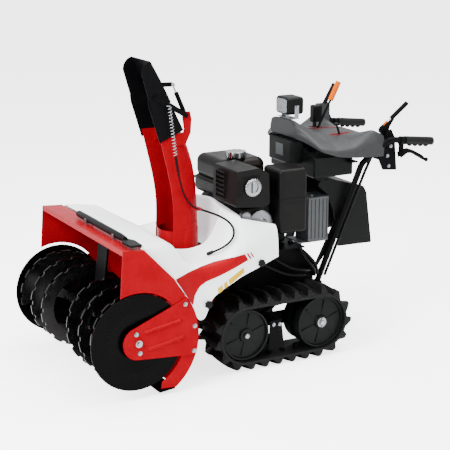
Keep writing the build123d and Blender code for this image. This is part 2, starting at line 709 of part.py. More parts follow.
with BuildPart() as carburettor_cover:
    # hood over the carburettor with a louvred front
    with BuildSketch(side_plane(52)):
        with BuildLine():
            Polyline((-126, 662), (-120, 806), (-20, 812), (26, 786), (30, 660), (0, 650), close=True)
        make_face()
    extrude(amount=196)
    fillet(carburettor_cover.edges().filter_by(Axis.X), 8)
    add(block((56, -120, 640), (244, 24, 780)), mode=Mode.SUBTRACT)
    for row in range(6):
        with Locations((118, -124, 686 + row * 18)):
            Box(70, 20, 7, mode=Mode.SUBTRACT)
    add(rod((240, -52, 738), (262, -52, 738), 8 + RUNNING), mode=Mode.SUBTRACT)
keep("carburettor_cover", carburettor_cover)

choke_dial = join(
    turned([(249, 0), (249, 32), (254, 32), (257, 28), (257, 0)], -52, 738),
    turned([(240, 0), (240, 8), (250, 8), (250, 0)], -52, 738),
    block((256, -58, 716), (267, -46, 760), 3),
)
keep("choke_dial", choke_dial)

with BuildPart() as rear_cowl:
    # intake and cooling-air housing beside the engine
    add(block((108, 76, 524), (252, 208, 792), 16))
    add(block((113, 81, 529), (247, 203, 786), 12), mode=Mode.SUBTRACT)
keep("rear_cowl", rear_cowl)

with BuildPart() as muffler:
    add(block((-250, -30, 500), (-186, 118, 618), 18))
    add(rod((-190, 30, 560), (-176.3, 30, 560), 16))
    add(rod((-218, 108, 530), (-218, 150, 524), 12, 9.5))
keep("muffler", muffler)

with BuildPart() as battery:
    add(block((62, 266, 446), (166, 368, 640), 5))
    for row in range(5):
        with Locations((166, 279 + row * 19, 545)):
            Box(6, 9, 170, mode=Mode.SUBTRACT)
    add(rod((80, 290, 636), (80, 290, 650), 8))
    add(rod((148, 290, 636), (148, 290, 650), 8))
    # tray that hangs from the frame
    add(block((40, 240, 440), (141, 376, 446)))
    add(block((116, 230, 400), (141, 250, 446)))
keep("battery", battery)

REAR_HOOD = [(300, 700), (412, 699), (552, 658), (569, 628), (600, 403), (429, 407), (404, 560), (372, 640)]
with BuildPart() as rear_cover:
    add(plate(REAR_HOOD, -150, 150))
    fillet(rear_cover.edges().filter_by(Axis.X).sort_by(Axis.Z)[-3:], 14)
    inner_hood = [(290, 696), (411, 695), (549, 655), (565, 627), (596, 390), (430, 390),
                  (396, 560), (360, 640)]
    add(plate(inner_hood, -146, 146), mode=Mode.SUBTRACT)
    # brackets down to the frame
    for x in (-146, 142):
        add(plate([(310, 330), (326, 330), (470, 520), (450, 560), (430, 560)], x, x + 4))
keep("rear_cover", rear_cover)

# ---- tracks -------------------------------------------------------------


def loop_outline(radius):
    """The belt's oval about both axles."""
    with Locations((FRONT_AXLE_Y, AXLE_Z), (REAR_AXLE_Y, AXLE_Z)):
        Circle(radius)
    make_hull()


def loop_point(distance, radius):
    """Place and heading, in degrees, along the belt's outer face from the rear foot."""
    run = REAR_AXLE_Y - FRONT_AXLE_Y
    bend = math.pi * radius
    distance %= 2 * (run + bend)
    if distance < run:
        return REAR_AXLE_Y - distance, AXLE_Z - radius, -90
    distance -= run
    if distance < bend:
        turn = -90 - math.degrees(distance / radius)
        return (*around(radius, turn, FRONT_AXLE_Y, AXLE_Z), turn)
    distance -= bend
    if distance < run:
        return FRONT_AXLE_Y + distance, AXLE_Z + radius, 90
    turn = 90 - math.degrees((distance - run) / radius)
    return (*around(radius, turn, REAR_AXLE_Y, AXLE_Z), turn)


with BuildPart() as track_belt:
    with BuildSketch(side_plane(TRACK_INSIDE)):
        loop_outline(BELT_OUTER)
    extrude(amount=TRACK_OUTSIDE - TRACK_INSIDE)
    with BuildSketch(side_plane(TRACK_INSIDE)):
        loop_outline(BELT_INNER)
    extrude(amount=TRACK_OUTSIDE - TRACK_INSIDE, mode=Mode.SUBTRACT)
    lug_pitch = (2 * (REAR_AXLE_Y - FRONT_AXLE_Y) + 2 * math.pi * BELT_OUTER) / LUG_COUNT
    with BuildSketch(side_plane(TRACK_INSIDE + 2)):
        for lug in range(LUG_COUNT):
            y, z, turn = loop_point(20 + lug * lug_pitch, BELT_OUTER - 2)
            reach = math.radians(turn)
            centre = (y + 15 * math.cos(reach), z + 15 * math.sin(reach))
            with Locations(Location((*centre, 0), (0, 0, turn - 90))):
                Trapezoid(22, 30, 76)
    extrude(amount=TRACK_OUTSIDE - TRACK_INSIDE - 4)
    # guide horns inside the belt
    with BuildSketch(side_plane(250)):
        for lug in range(LUG_COUNT):
            y, z, turn = loop_point(20 + lug * lug_pitch, BELT_OUTER - 12)
            reach = math.radians(turn)
            centre = (y - 5 * math.cos(reach), z - 5 * math.sin(reach))
            with Locations(Location((*centre, 0), (0, 0, turn + 90))):
                Trapezoid(18, 14, 76)
    extrude(amount=26)
keep("track_belts", both_sides(track_belt))

WHEEL_IN, WHEEL_OUT = 200.0, 326.0


def wheel(y, rim, bore, spikes):
    """A track wheel with two rims, a groove for the guide horns and a hub."""
    body = turned([
        (WHEEL_IN, bore), (WHEEL_IN, rim), (242, rim), (242, 88), (284, 88), (284, rim),
        (WHEEL_OUT, rim), (WHEEL_OUT, rim - 7), (WHEEL_OUT - 9, rim - 10), (WHEEL_OUT - 5, 30),
        (WHEEL_OUT + 4, 27), (WHEEL_OUT + 4, bore)], y, AXLE_Z)
    with BuildPart() as made:
        add(body)
        # lightening pocket from the inboard side
        add(turned([(WHEEL_IN - 1, 34), (WHEEL_IN - 1, rim - 9), (236, rim - 9), (236, 80), (290, 80),
                    (290, rim - 9), (WHEEL_OUT - 16, rim - 13), (WHEEL_OUT - 16, 34)], y, AXLE_Z),
            mode=Mode.SUBTRACT)
        if spikes:
            with BuildSketch(side_plane(WHEEL_OUT - 8)):
                with Locations((y, AXLE_Z)):
                    with PolarLocations(rim - 2, spikes, start_angle=9):
                        Trapezoid(20, 8, 60, rotation=-90)
            extrude(amount=5)
    return made


IDLER_RIM, DRIVE_RIM = 108.0, 104.5
drive_wheel_left = wheel(FRONT_AXLE_Y, DRIVE_RIM, 14, 11)
with drive_wheel_left:
    # half axle into the final drive, with its end screw
    add(rod((26, FRONT_AXLE_Y, AXLE_Z), (WHEEL_OUT + 6, FRONT_AXLE_Y, AXLE_Z), 14))
    add(rod((WHEEL_OUT + 6, FRONT_AXLE_Y, AXLE_Z), (WHEEL_OUT + 13, FRONT_AXLE_Y, AXLE_Z), 9))
keep("drive_wheel_left", drive_wheel_left)
keep("drive_wheel_right", mirrored(drive_wheel_left))

idler_left = wheel(REAR_AXLE_Y, IDLER_RIM, 12 + RUNNING, 0)
keep("idler_left", idler_left)
keep("idler_right", mirrored(idler_left))

with BuildPart() as track_frame:
    # inner side beam with both axle eyes
    add(plate([(-150, 122), (-150, 178), (270, 178), (270, 122)], 184, 194,
              holes=[(FRONT_AXLE_Y, AXLE_Z, 14 + CLEAR)]))
    # fixed axle of the idler with its washer and split pin
    add(rod((184, REAR_AXLE_Y, AXLE_Z), (WHEEL_OUT + 16, REAR_AXLE_Y, AXLE_Z), 12))
    add(rod((WHEEL_OUT + 4.4, REAR_AXLE_Y, AXLE_Z), (WHEEL_OUT + 8, REAR_AXLE_Y, AXLE_Z), 20))
    add(rod((WHEEL_OUT + 12, REAR_AXLE_Y, AXLE_Z - 17), (WHEEL_OUT + 12, REAR_AXLE_Y, AXLE_Z + 17), 2))
    # cross bar out to the guard between the wheels
    add(block((190, 18, 160), (316, 42, 186)))
    add(plate([(-9, 66), (-5, 188), (48, 190), (64, 66)], 314, 318))
    # lower roller on its bracket
    add(plate([(10, 70), (10, 170), (50, 170), (50, 70)], 290, 294))
    add(rod((206, 30, 84), (290, 30, 84), 6))
    add(rod((214, 30, 84), (250, 30, 84), 22))
    # legs up to the main frame
    add(block((150, -20, 240), (156, 20, 300)))
    add(block((150, -18, 160), (190, 18, 176)))
    add(block((150, -18, 160), (156, 18, 262)))
    add(block((150, 180, 160), (190, 216, 176)))
    add(block((150, 180, 160), (156, 216, 300)))
keep("track_frames", both_sides(track_frame))

# ---- handles and console ---------------------------------------------------

TUBE_RADIUS = 12.5
LEVER_PIVOT = (602, 835)
CLUTCH_PIVOT = (664, 806)
GRIP_BEND, TUBE_END = (602, 872), (818, 847)
GRIP_SLOPE = (TUBE_END[1] - GRIP_BEND[1]) / (TUBE_END[0] - GRIP_BEND[0])

with BuildPart() as handle_frame:
    for side in (1, -1):
        with BuildLine() as tube_path:
            FilletPolyline((side * 152, 322, 262), (side * 186, 515, 766), (side * GRIP_X, *GRIP_BEND),
                           (side * GRIP_X, *TUBE_END), radius=[60, 34])
        with BuildSketch(Plane(tube_path.line @ 0, z_dir=tube_path.line % 0)):
            Circle(TUBE_RADIUS)
        sweep(path=tube_path.line)
        plate_x = (236, 242) if side > 0 else (-242, -236)
        add(plate([(588, 860), (600, 905), (622, 912), (640, 880), (655, 735), (585, 742), (562, 792)], *plate_x))
        add(rod((side * 212, *LEVER_PIVOT), (side * 246, *LEVER_PIVOT), 6))
        # clamp and post of the hand lever
        add(rod((side * GRIP_X, 656, 864), (side * GRIP_X, 674, 862), 18))
        add(block((side * GRIP_X - 6, 656, 796), (side * GRIP_X + 6, 674, 850)))
        add(rod((side * GRIP_X - 14, *CLUTCH_PIVOT), (side * GRIP_X + 14, *CLUTCH_PIVOT), 5))
        # foot bracket
        add(block((side * 152 - 20, 304, 236), (side * 152 + 20, 336, 272)))
    # cross tube between the brackets
    add(rod((-236, 640, 770), (236, 640, 770), 10))
keep("handle_frame", handle_frame)

GRIP_START_Y, GRIP_RADIUS = 682.0, 17.5


def tube_height(y):
    """Height of the handle tube's axis under the grip."""
    return GRIP_BEND[1] + GRIP_SLOPE * (y - GRIP_BEND[0])


with BuildPart() as grip:
    # moulded grip with finger waves under it
    lean = math.atan(-GRIP_SLOPE)
    grip_length = (GRIP_END_Y - GRIP_RADIUS * math.sin(lean) - GRIP_START_Y) / math.cos(lean)
    with BuildSketch(Plane((GRIP_X, GRIP_START_Y, tube_height(GRIP_START_Y)), z_dir=(0, 1, GRIP_SLOPE))):
        Circle(GRIP_RADIUS)
    extrude(amount=grip_length)
    for wave in range(4):
        wave_y = GRIP_START_Y + 26 + wave * 28
        with Locations((GRIP_X, wave_y, tube_height(wave_y) - 13)):
            Sphere(12)
    add(rod((GRIP_X, 640, tube_height(640)), (GRIP_X, *TUBE_END), TUBE_RADIUS), mode=Mode.SUBTRACT)
keep("grips", both_sides(grip))

with BuildPart() as clutch_lever:
    # hand lever under the grip with a ball end
    add(plate([(658, 790), (652, 812), (668, 820), (700, 826), (722, 818), (770, 792), (798, 768),
               (795, 762), (762, 780), (716, 806), (690, 808), (676, 800)], GRIP_X - 11, GRIP_X - 7,
              holes=[(*CLUTCH_PIVOT, 5 + RUNNING)]))
    add(plate([(658, 790), (652, 812), (668, 820), (700, 826), (722, 818), (716, 806), (690, 808),
               (676, 800)], GRIP_X + 7, GRIP_X + 11, holes=[(*CLUTCH_PIVOT, 5 + RUNNING)]))
    add(plate([(690, 810), (700, 826), (722, 818), (770, 792), (798, 768), (795, 762), (762, 780),
               (716, 806)], GRIP_X - 8, GRIP_X + 8))
    with Locations((GRIP_X, 798, 768)):
        Sphere(9)
keep("clutch_lever_left", clutch_lever)
keep("clutch_lever_right", mirrored(clutch_lever))

LEVER_X = 222.0

with BuildPart() as deadman_lever:
    # long hold-down lever: web on the pivot, bar and rubber handle
    add(plate([(590, 828), (596, 884), (572, 902), (570, 913), (580, 924), (640, 965), (648, 951),
               (624, 916), (614, 828)], LEVER_X - 2.5, LEVER_X + 2.5, holes=[(*LEVER_PIVOT, 6 + RUNNING)]))
    add(rod((LEVER_X, 632, 953), (LEVER_X, 712, 1014), 9.5))
keep("deadman_lever_left", deadman_lever)

with BuildPart() as far_lever:
    # the right lever stands steeper at rest
    add(mirror(deadman_lever.part.rotate(Axis((0, *LEVER_PIVOT), (1, 0, 0)), 22), about=Plane.YZ))
keep("deadman_lever_right", far_lever)

# y, then (half width, height) of lower lip, side, crest and dish edge, and the middle
CONSOLE_STATIONS = (
    (238, (100, 884), (104, 910), (96, 944), (52, 955), 955),
    (262, (130, 872), (136, 894), (112, 922), (56, 952), 953),
    (286, (220, 844), (225, 855), (156, 894), (62, 934), 936),
    (360, (240, 818), (244, 842), (176, 872), (90, 894), 900),
    (440, (248, 808), (252, 850), (206, 868), (110, 886), 896),
    (537, (250, 803), (254, 880), (232, 921), (130, 889), 891),
    (584, (246, 801), (250, 872), (234, 894), (122, 872), 874),
)


def console_body(inset, drop, rear):
    """The console's full form, or a smaller one to hollow it with."""
    rings = []
    for index, (y, *edges, middle) in enumerate(CONSOLE_STATIONS):
        if index == 0:
            y += inset
        if index == len(CONSOLE_STATIONS) - 1:
            y += rear
        half = [(x - inset, z - (drop if place == 0 else inset)) for place, (x, z) in enumerate(edges)]
        rings.append((y, half + [(0, middle - inset)] + [(-x, z) for x, z in reversed(half)]))
    return ruled_body(rings)


SHIFT_PIVOT, THROTTLE_PIVOT, JOYSTICK_PIVOT = (385, 846), (462, 846), (432, 852)

with BuildPart() as console_panel:
    add(console_body(0, 0, 0))
    add(console_body(4, 12, 12), mode=Mode.SUBTRACT)
    add(block((-8, 352, 840), (8, 538, 960)), mode=Mode.SUBTRACT)       # shift gate
    add(block((103, 400, 840), (117, 500, 960)), mode=Mode.SUBTRACT)    # throttle gate
    add(block((-86, 400, 840), (-34, 464, 960)), mode=Mode.SUBTRACT)    # joystick hole
    for side in (1, -1):                                                # lever slots
        with Locations((side * LEVER_X, 566, 900)):
            Box(24, 62, 110, mode=Mode.SUBTRACT)
        # cut-outs that clear the handle tubes
        add(rod((side * 186, 515, 766), (side * GRIP_X, *GRIP_BEND), 16), mode=Mode.SUBTRACT)
        with Locations((side * (LEVER_X + 30), 560, 860)):
            Box(60, 70, 130, mode=Mode.SUBTRACT)
keep("console_panel", console_panel)

with BuildPart() as console_base:
    # dark tray under the panel with the lever stands
    add(block((-180, 284, 722), (180, 476, 812), 8))
    add(block((-174, 290, 728), (174, 470, 806)), mode=Mode.SUBTRACT)
    for x, (y, z) in ((0, SHIFT_PIVOT), (110, THROTTLE_PIVOT), (-60, JOYSTICK_PIVOT)):
        for ear in (x - 17, x + 13):
            add(plate([(y - 9, 808), (y - 9, z + 8), (y + 9, z + 8), (y + 9, 808)], ear, ear + 4))
        add(rod((x - 17, y, z), (x + 17, y, z), 5))
    # wings that rest on the handle tubes
    for side in (1, -1):
        add(block((min(side * 176, side * 215), 440, 780), (max(side * 176, side * 215), 476, 786)))
keep("console_base", console_base)

keep("control_box", join(block((-92, 222, 772), (92, 282, 872), 6)))


def swinging(name, pivot, x, *solids):
    """A lever with a hub of its own on a cross pin at its pivot."""
    with BuildPart() as made:
        add(rod((x - 8, *pivot), (x + 8, *pivot), 11))
        for solid in solids:
            add(solid)
        add(rod((x - 20, *pivot), (x + 20, *pivot), 5 + RUNNING), mode=Mode.SUBTRACT)
    keep(name, made)


swinging("shift_lever", SHIFT_PIVOT, 0,
         rod((0, 387, 852), (0, 477, 1020), 5), rod((0, 474, 1014), (0, 512, 1088), 11))
swinging("throttle_lever", THROTTLE_PIVOT, 110,
         plate([(458, 850), (466, 850), (438, 930), (430, 928)], 108, 112),
         block((100, 424, 924), (120, 442, 934), 3))
swinging("joystick", JOYSTICK_PIVOT, -60,
         block((-66, 427, 856), (-54, 439, 920)), block((-80, 418, 912), (-40, 462, 986), 8))

with BuildPart() as headlamp:
    # tilting lamp housing, hollow behind the lens
    add(block((-50, 228, 972), (50, 312, 1046), 14))
    with Locations((0, 228, 1009)):
        Box(84, 8, 58, mode=Mode.SUBTRACT)
    add(rod((-60, 272, 1006), (60, 272, 1006), 4 + RUNNING), mode=Mode.SUBTRACT)
keep("headlamp", headlamp)

# ---- cables, stick and hardware ----------------------------------------------


with BuildPart() as control_cables:
    for side in (1, -1):
        for shift in (0, 9):
            with BuildLine() as cable_path:
                FilletPolyline((side * (152 + shift), 358, 290), (side * (168 + shift), 438, 500),
                               (side * (184 + shift), 530, 730), (side * (188 + shift), 556, 786),
                               radius=[60, 60])
            with BuildSketch(Plane(cable_path.line @ 0, z_dir=cable_path.line % 0)):
                Circle(3.5)
            sweep(path=cable_path.line)
keep("control_cables", control_cables)

STICK_Y, STICK_Z = -634.0, 609.0
with BuildPart() as clearing_stick:
    # pole with a flat paddle, stowed on the housing
    add(rod((-150, STICK_Y, STICK_Z), (312, STICK_Y, STICK_Z), 9.5))
    with BuildSketch(Plane((0, 0, STICK_Z - 4))):
        with BuildLine():
            Polyline((296, STICK_Y - 10), (330, STICK_Y - 26), (402, STICK_Y - 22), (406, STICK_Y + 22),
                     (330, STICK_Y + 26), (296, STICK_Y + 10), close=True)
        make_face()
    extrude(amount=8)
keep("clearing_stick", clearing_stick)


def bolt(x, y, z, size=7.0, depth=6.0):
    """A hex head that faces outwards on the side at x."""
    outward = 1 if x > 0 else -1
    plane = Plane((x, y, z), x_dir=(0, 1, 0), z_dir=(outward, 0, 0))
    with BuildPart() as made:
        with BuildSketch(plane):
            Circle(size + 2)
        extrude(amount=1.5)
        with BuildSketch(plane):
            RegularPolygon(size, 6)
        extrude(amount=depth)
    return made.part


with BuildPart() as fasteners:
    for side in (1, -1):
        for y, z in ((-439, 357), (-399, 264), (-403, 164), (-646, 269), (-632, 192)):
            add(bolt(side * ARM_OUT, y, z))
        for y, z in ((622, 840), (606, 800), (614, 756)):
            add(bolt(side * 242, y, z, 5.5, 5))
        for y, z in ((12, 172), (40, 170)):
            add(bolt(side * 318, y, z, 5.5, 5))
    # saddles that hold the stick
    for x in (-52, 215):
        with BuildSketch(Plane((x, STICK_Y, 0), x_dir=(0, 1, 0), z_dir=(1, 0, 0))):
            with BuildLine():
                Polyline((-17, 594.5), (-17, 616), (-14, 616), (-14, 599.2), (14, 599.2), (14, 616),
                         (17, 616), (17, 592.1), close=True)
            make_face()
        extrude(amount=16)
    # lamp bracket with its two cheeks and pins
    for side in (1, -1):
        add(plate([(262, 956), (262, 1012), (282, 1012), (282, 956)],
                  min(side * 51, side * 54), max(side * 51, side * 54)))
        add(rod((side * 44, 272, 1006), (side * 58, 272, 1006), 4))
    add(block((-54, 244, 955.2), (54, 282, 958.2)))
keep("fasteners", fasteners)

# ---- export ------------------------------------------------------------------

for name, piece in pieces.items():
    piece.part.label = name
    export_step(piece.part, f"parts/{name}.step")
print(len(pieces), "pieces written")
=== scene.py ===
# %% [markdown]
# # A tracked two stage snow thrower
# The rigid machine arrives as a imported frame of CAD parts, in metres, with +Z up,
# -Y the driving direction and +X the machine's left side. This lesson gives every
# part its finish and builds the moulded, pressed and rubber pieces that need a
# softer shape than the CAD solids have.

# %% Load the frame
import json
import math

import bpy
import numpy as np
from mathutils import Matrix, Vector


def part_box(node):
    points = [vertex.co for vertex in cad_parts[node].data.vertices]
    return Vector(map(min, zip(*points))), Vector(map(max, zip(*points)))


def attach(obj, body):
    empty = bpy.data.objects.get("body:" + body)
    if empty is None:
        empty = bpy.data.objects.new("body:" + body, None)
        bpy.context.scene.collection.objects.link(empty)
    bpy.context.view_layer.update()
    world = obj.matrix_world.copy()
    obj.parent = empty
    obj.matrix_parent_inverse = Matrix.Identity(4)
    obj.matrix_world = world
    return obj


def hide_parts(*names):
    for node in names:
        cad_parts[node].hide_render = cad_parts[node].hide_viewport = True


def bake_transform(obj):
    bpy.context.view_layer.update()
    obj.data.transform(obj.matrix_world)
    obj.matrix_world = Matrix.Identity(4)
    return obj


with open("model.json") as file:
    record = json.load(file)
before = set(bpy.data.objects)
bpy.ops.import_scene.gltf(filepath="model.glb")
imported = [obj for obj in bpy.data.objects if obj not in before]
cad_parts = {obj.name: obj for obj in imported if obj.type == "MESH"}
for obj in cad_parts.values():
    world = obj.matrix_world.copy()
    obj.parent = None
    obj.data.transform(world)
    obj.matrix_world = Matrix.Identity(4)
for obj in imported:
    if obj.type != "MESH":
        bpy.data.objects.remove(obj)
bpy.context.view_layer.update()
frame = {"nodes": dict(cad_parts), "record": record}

# %% [markdown]
# ## Colour and node helpers
# Paint charts and web colours are given in sRGB, but a renderer adds light, so one
# function turns each hex value to linear. A material is a small tree of nodes, and the
# other function adds a node and fills its inputs with values or links.

# %% Colour and node helpers
def linear(hex_colour):
    """An sRGB hex value as linear red, green, blue and alpha."""
    parts = [int(hex_colour[i:i + 2], 16) / 255 for i in (0, 2, 4)]
    curve = [p / 12.92 if p <= 0.04045 else ((p + 0.055) / 1.055) ** 2.4 for p in parts]
    return (*curve, 1.0)


def add_node(tree, kind, inputs=None, **settings):
    """Adds a node, sets its properties and fills its inputs with values or links."""
    node = tree.nodes.new(kind)
    for key, value in settings.items():
        setattr(node, key, value)
    for key, value in (inputs or {}).items():
        if isinstance(value, bpy.types.NodeSocket):
            tree.links.new(value, node.inputs[key])
        else:
            node.inputs[key].default_value = value
    return node

print("mid grey", [round(c, 3) for c in linear("808080")])

# %% [markdown]
# ## One recipe for all finishes
# A painted, moulded or plated surface is never one flat colour. A large soft noise
# mixes two close colours and makes the gloss uneven, and a fine one is its grain.
# All patterns are placed by the object's own coordinates, so they ride with it.
#
# The first finish is the red powder coat on the steel housing, chute and arms. Baked
# powder flows to an orange peel about 2 mm across, drawn at 4 mm so that it shows. Its
# reflections are weak and tinted red, which keeps the paint deep under strong lights.

# %% A finish
def finish(name, light, dark, rough, grain_mm, relief, metallic=0.0, coat=0.0, mottle_mm=60.0,
           stretch=(1, 1, 1), extra=None):
    """A moulded, painted or plated surface: two close colours, a grain and an uneven gloss.
    grain_mm is the size of the surface grain, relief its depth in mm, rough the two roughness ends."""
    material = bpy.data.materials.new(name)
    material.use_nodes = True
    tree = material.node_tree
    shader = tree.nodes["Principled BSDF"]
    place = add_node(tree, "ShaderNodeTexCoord").outputs["Object"]
    mapped = add_node(tree, "ShaderNodeMapping", {"Vector": place, "Scale": stretch}).outputs["Vector"]
    mottle = add_node(tree, "ShaderNodeTexNoise", {"Vector": mapped, "Scale": 1000 / mottle_mm,
                                                   "Detail": 4.0})
    tint = add_node(tree, "ShaderNodeValToRGB", {"Fac": mottle.outputs["Fac"]})
    tint.color_ramp.elements[0].position = 0.32
    tint.color_ramp.elements[0].color = linear(dark)
    tint.color_ramp.elements[1].position = 0.68
    tint.color_ramp.elements[1].color = linear(light)
    gloss = add_node(tree, "ShaderNodeMapRange", {"Value": mottle.outputs["Fac"], "From Min": 0.3,
                                                  "From Max": 0.7, "To Min": rough[0], "To Max": rough[1]})
    grain = add_node(tree, "ShaderNodeTexNoise", {"Vector": mapped, "Scale": 1000 / grain_mm, "Detail": 3.0})
    bump = add_node(tree, "ShaderNodeBump", {"Height": grain.outputs["Fac"], "Strength": 0.35,
                                             "Distance": relief / 1000})
    tree.links.new(tint.outputs["Color"], shader.inputs["Base Color"])
    tree.links.new(gloss.outputs["Result"], shader.inputs["Roughness"])
    tree.links.new(bump.outputs["Normal"], shader.inputs["Normal"])
    shader.inputs["Metallic"].default_value = metallic
    if coat:
        shader.inputs["Coat Weight"].default_value = coat
        shader.inputs["Coat Roughness"].default_value = 0.08
    for socket, value in (extra or {}).items():
        shader.inputs[socket].default_value = value
    return material


red_powder_coat = finish("red_powder_coat", "80000E", "78000D", (0.24, 0.32), 4.0, 0.02,
                         extra={"Specular IOR Level": 0.05, "Specular Tint": (1.0, 0.04, 0.08, 1.0)})
print("nodes in a finish", len(red_powder_coat.node_tree.nodes))

# %% [markdown]
# ## Painted metal
# The other painted parts are all nearly black, so only the highlight tells them apart.
# Satin powder coat spreads it, enamel keeps it narrow and a cast surface breaks it up.

# %% Painted metal
# satin powder coat on brackets, tubes and the deflector: a fine grain, a broad highlight
black_powder_coat = finish("black_powder_coat", "060607", "040405", (0.42, 0.54), 1.5, 0.06,
                           extra={"Specular IOR Level": 0.035})
# glossy enamel on the auger, thin over rolled sheet: a narrow highlight, uneven where it is scuffed
black_enamel = finish("black_enamel", "040404", "020202", (0.2, 0.3), 3.0, 0.03, mottle_mm=35,
                      extra={"Specular IOR Level": 0.4})
# iron castings sprayed a warm black: the rough skin shows through and breaks the highlight up
painted_casting = finish("painted_casting", "0D0C0B", "070606", (0.45, 0.6), 2.5, 0.18,
                          extra={"Specular IOR Level": 0.12})
# the flat discs carry the same enamel, rubbed by snow to a dull, streaky sheen
disc_enamel = finish("disc_enamel", "020202", "010101", (0.2, 0.34), 3.0, 0.04, mottle_mm=22,
                     stretch=(1, 0.3, 3), extra={"Specular IOR Level": 0.035})
print("materials so far", len(bpy.data.materials))

# %% [markdown]
# ## Bare and plated metal
# Shafts are bright steel bar with faint streaks along them, fasteners are zinc plated,
# which dulls in small patches, the crankcase cover is die cast aluminium, with a soft
# grain, and the small caps are satin chrome, the sharpest of the four. A metal takes
# its colour from its base colour, and keeps the default index of refraction.

# %% Bare and plated metal
turned_steel = finish("turned_steel", "9A9A9C", "828386", (0.22, 0.34), 1.2, 0.03, 1.0, stretch=(1, 9, 9))
zinc_plate = finish("zinc_plate", "989A9C", "7C7F83", (0.28, 0.42), 1.0, 0.03, 1.0, mottle_mm=8)
cast_aluminium = finish("cast_aluminium", "8E8F91", "77787A", (0.34, 0.46), 1.4, 0.08, 1.0)
satin_chrome = finish("satin_chrome", "929395", "7E7F81", (0.12, 0.2), 2.0, 0.01, 1.0)
print("materials so far", len(bpy.data.materials))

# %% [markdown]
# ## Plastics and rubber
# The body cover is a large moulding in white ABS: smooth, semi-gloss, a little light
# scattering in it. Console and engine covers are ABS from a spark-eroded tool, whose
# fine grain (0.4 mm, drawn at 1.5 mm) keeps the highlight broad. The tank is smoother.
# Tracks and grips are rubber with carbon black, the dullest of all.

# %% Plastics and rubber
white_moulding = finish("white_moulding", "EDEFF0", "E6E8EA", (0.28, 0.36), 6.0, 0.04, coat=0.1,
                        mottle_mm=120, extra={"Subsurface Weight": 0.04, "Subsurface Scale": 0.004})
console_grey = finish("console_grey", "292A2B", "242526", (0.42, 0.52), 1.5, 0.08,
                      extra={"Specular IOR Level": 0.14})
engine_black = finish("engine_black", "0A0908", "060505", (0.38, 0.5), 1.5, 0.09,
                      extra={"Specular IOR Level": 0.09})
tank_black = finish("tank_black", "0E0A07", "080605", (0.3, 0.42), 4.0, 0.04,
                    extra={"Specular IOR Level": 0.09})
black_abs = finish("black_abs", "070808", "040505", (0.36, 0.48), 1.5, 0.07,
                   extra={"Specular IOR Level": 0.09})
case_grey = finish("case_grey", "2C2F31", "232628", (0.4, 0.52), 1.5, 0.08)
moulded_rubber = finish("moulded_rubber", "0C0C0D", "050505", (0.5, 0.66), 3.0, 0.2, mottle_mm=18,
                        extra={"Specular IOR Level": 0.12})
orange_grip = finish("orange_grip", "B44E00", "AA4800", (0.4, 0.5), 1.5, 0.05,
                     extra={"Specular IOR Level": 0.1, "Specular Tint": (1.0, 0.4, 0.1, 1.0)})
cable_sheath = finish("cable_sheath", "050505", "030303", (0.32, 0.42), 1.0, 0.04,
                      extra={"Specular IOR Level": 0.08})
print("materials so far", len(bpy.data.materials))

# %% [markdown]
# ## Decals and the lens
# Decals are printed vinyl film, flatter than the paint under them. Their lettering is
# left out, so each is one plain colour. The lamp's lens is clear pressed acrylic, whose
# index is 1.49, and the bowl behind it is metallised.

# %% Decals and the lens
red_film = finish("red_film", "80000E", "7A000D", (0.34, 0.4), 8.0, 0.01,
                  extra={"Specular IOR Level": 0.1, "Specular Tint": (1.0, 0.04, 0.08, 1.0)})
yellow_film = finish("yellow_film", "BE9600", "B48E00", (0.34, 0.4), 6.0, 0.01,
                     extra={"Specular IOR Level": 0.1, "Specular Tint": (1.0, 0.8, 0.2, 1.0)})
white_film = finish("white_film", "F2F2F2", "E9E9E9", (0.34, 0.4), 6.0, 0.01)
lens_clear = finish("lens_clear", "C4C8CC", "BCC0C4", (0.03, 0.06), 9.0, 0.01,
                    extra={"Alpha": 0.15, "IOR": 1.49})
reflector = finish("reflector", "7C7D7F", "6A6B6D", (0.06, 0.14), 5.0, 0.4, 1.0)
print("materials so far", len(bpy.data.materials))

# %% [markdown]
# ## Finishes on the CAD parts
# The record names a material slot for each node. The table below says which finish
# each slot has, and each CAD object's slots are filled from it. Four nodes then get a
# finish of their own.

# %% Finishes on the CAD parts
slot_finish = {
    "red_paint": red_powder_coat, "white_cover": white_moulding, "black_paint": black_powder_coat,
    "auger_black": black_enamel, "bright_steel": turned_steel, "zinc": zinc_plate,
    "cast_iron": painted_casting, "engine_plastic": engine_black, "tank_paint": tank_black,
    "aluminium": cast_aluminium, "console_grey": console_grey, "black_plastic": black_abs,
    "battery_grey": case_grey, "rubber": moulded_rubber, "orange_grip": orange_grip,
    "chrome_cap": satin_chrome,
}
for part in frame["record"]["subparts"]:
    node = frame["nodes"][part["node"]]
    if not node.data.materials:
        node.data.materials.append(None)
    for slot in node.material_slots:
        slot.material = slot_finish[part["material_slot"]]
for name, material in (("chute_cable", cable_sheath), ("control_cables", cable_sheath),
                       ("auger_discs", disc_enamel), ("shift_lever", black_powder_coat)):
    for slot in frame["nodes"][name].material_slots:
        slot.material = material

# %% [markdown]
# ## Mesh helpers
# New pieces are made from lists of points in millimetres, the unit of the drawing,
# and turned to metres once. Each piece rides on the body that it is fixed to, and
# edges sharper than an angle keep a crease.

# %% New pieces
MM = 0.001


def new_piece(name, points, faces, material, body, slot, sharp=35):
    """A mesh piece from points in mm that rides on a body."""
    mesh = bpy.data.meshes.new(name)
    mesh.from_pydata([(p[0] * MM, p[1] * MM, p[2] * MM) for p in points], [], [tuple(f) for f in faces])
    mesh.validate()
    mesh.shade_smooth()
    mesh.set_sharp_from_angle(angle=math.radians(sharp))
    piece = bpy.data.objects.new(name, mesh)
    bpy.context.scene.collection.objects.link(piece)
    mesh.materials.append(material)
    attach(piece, body)
    return piece

print("one unit in metres", MM)

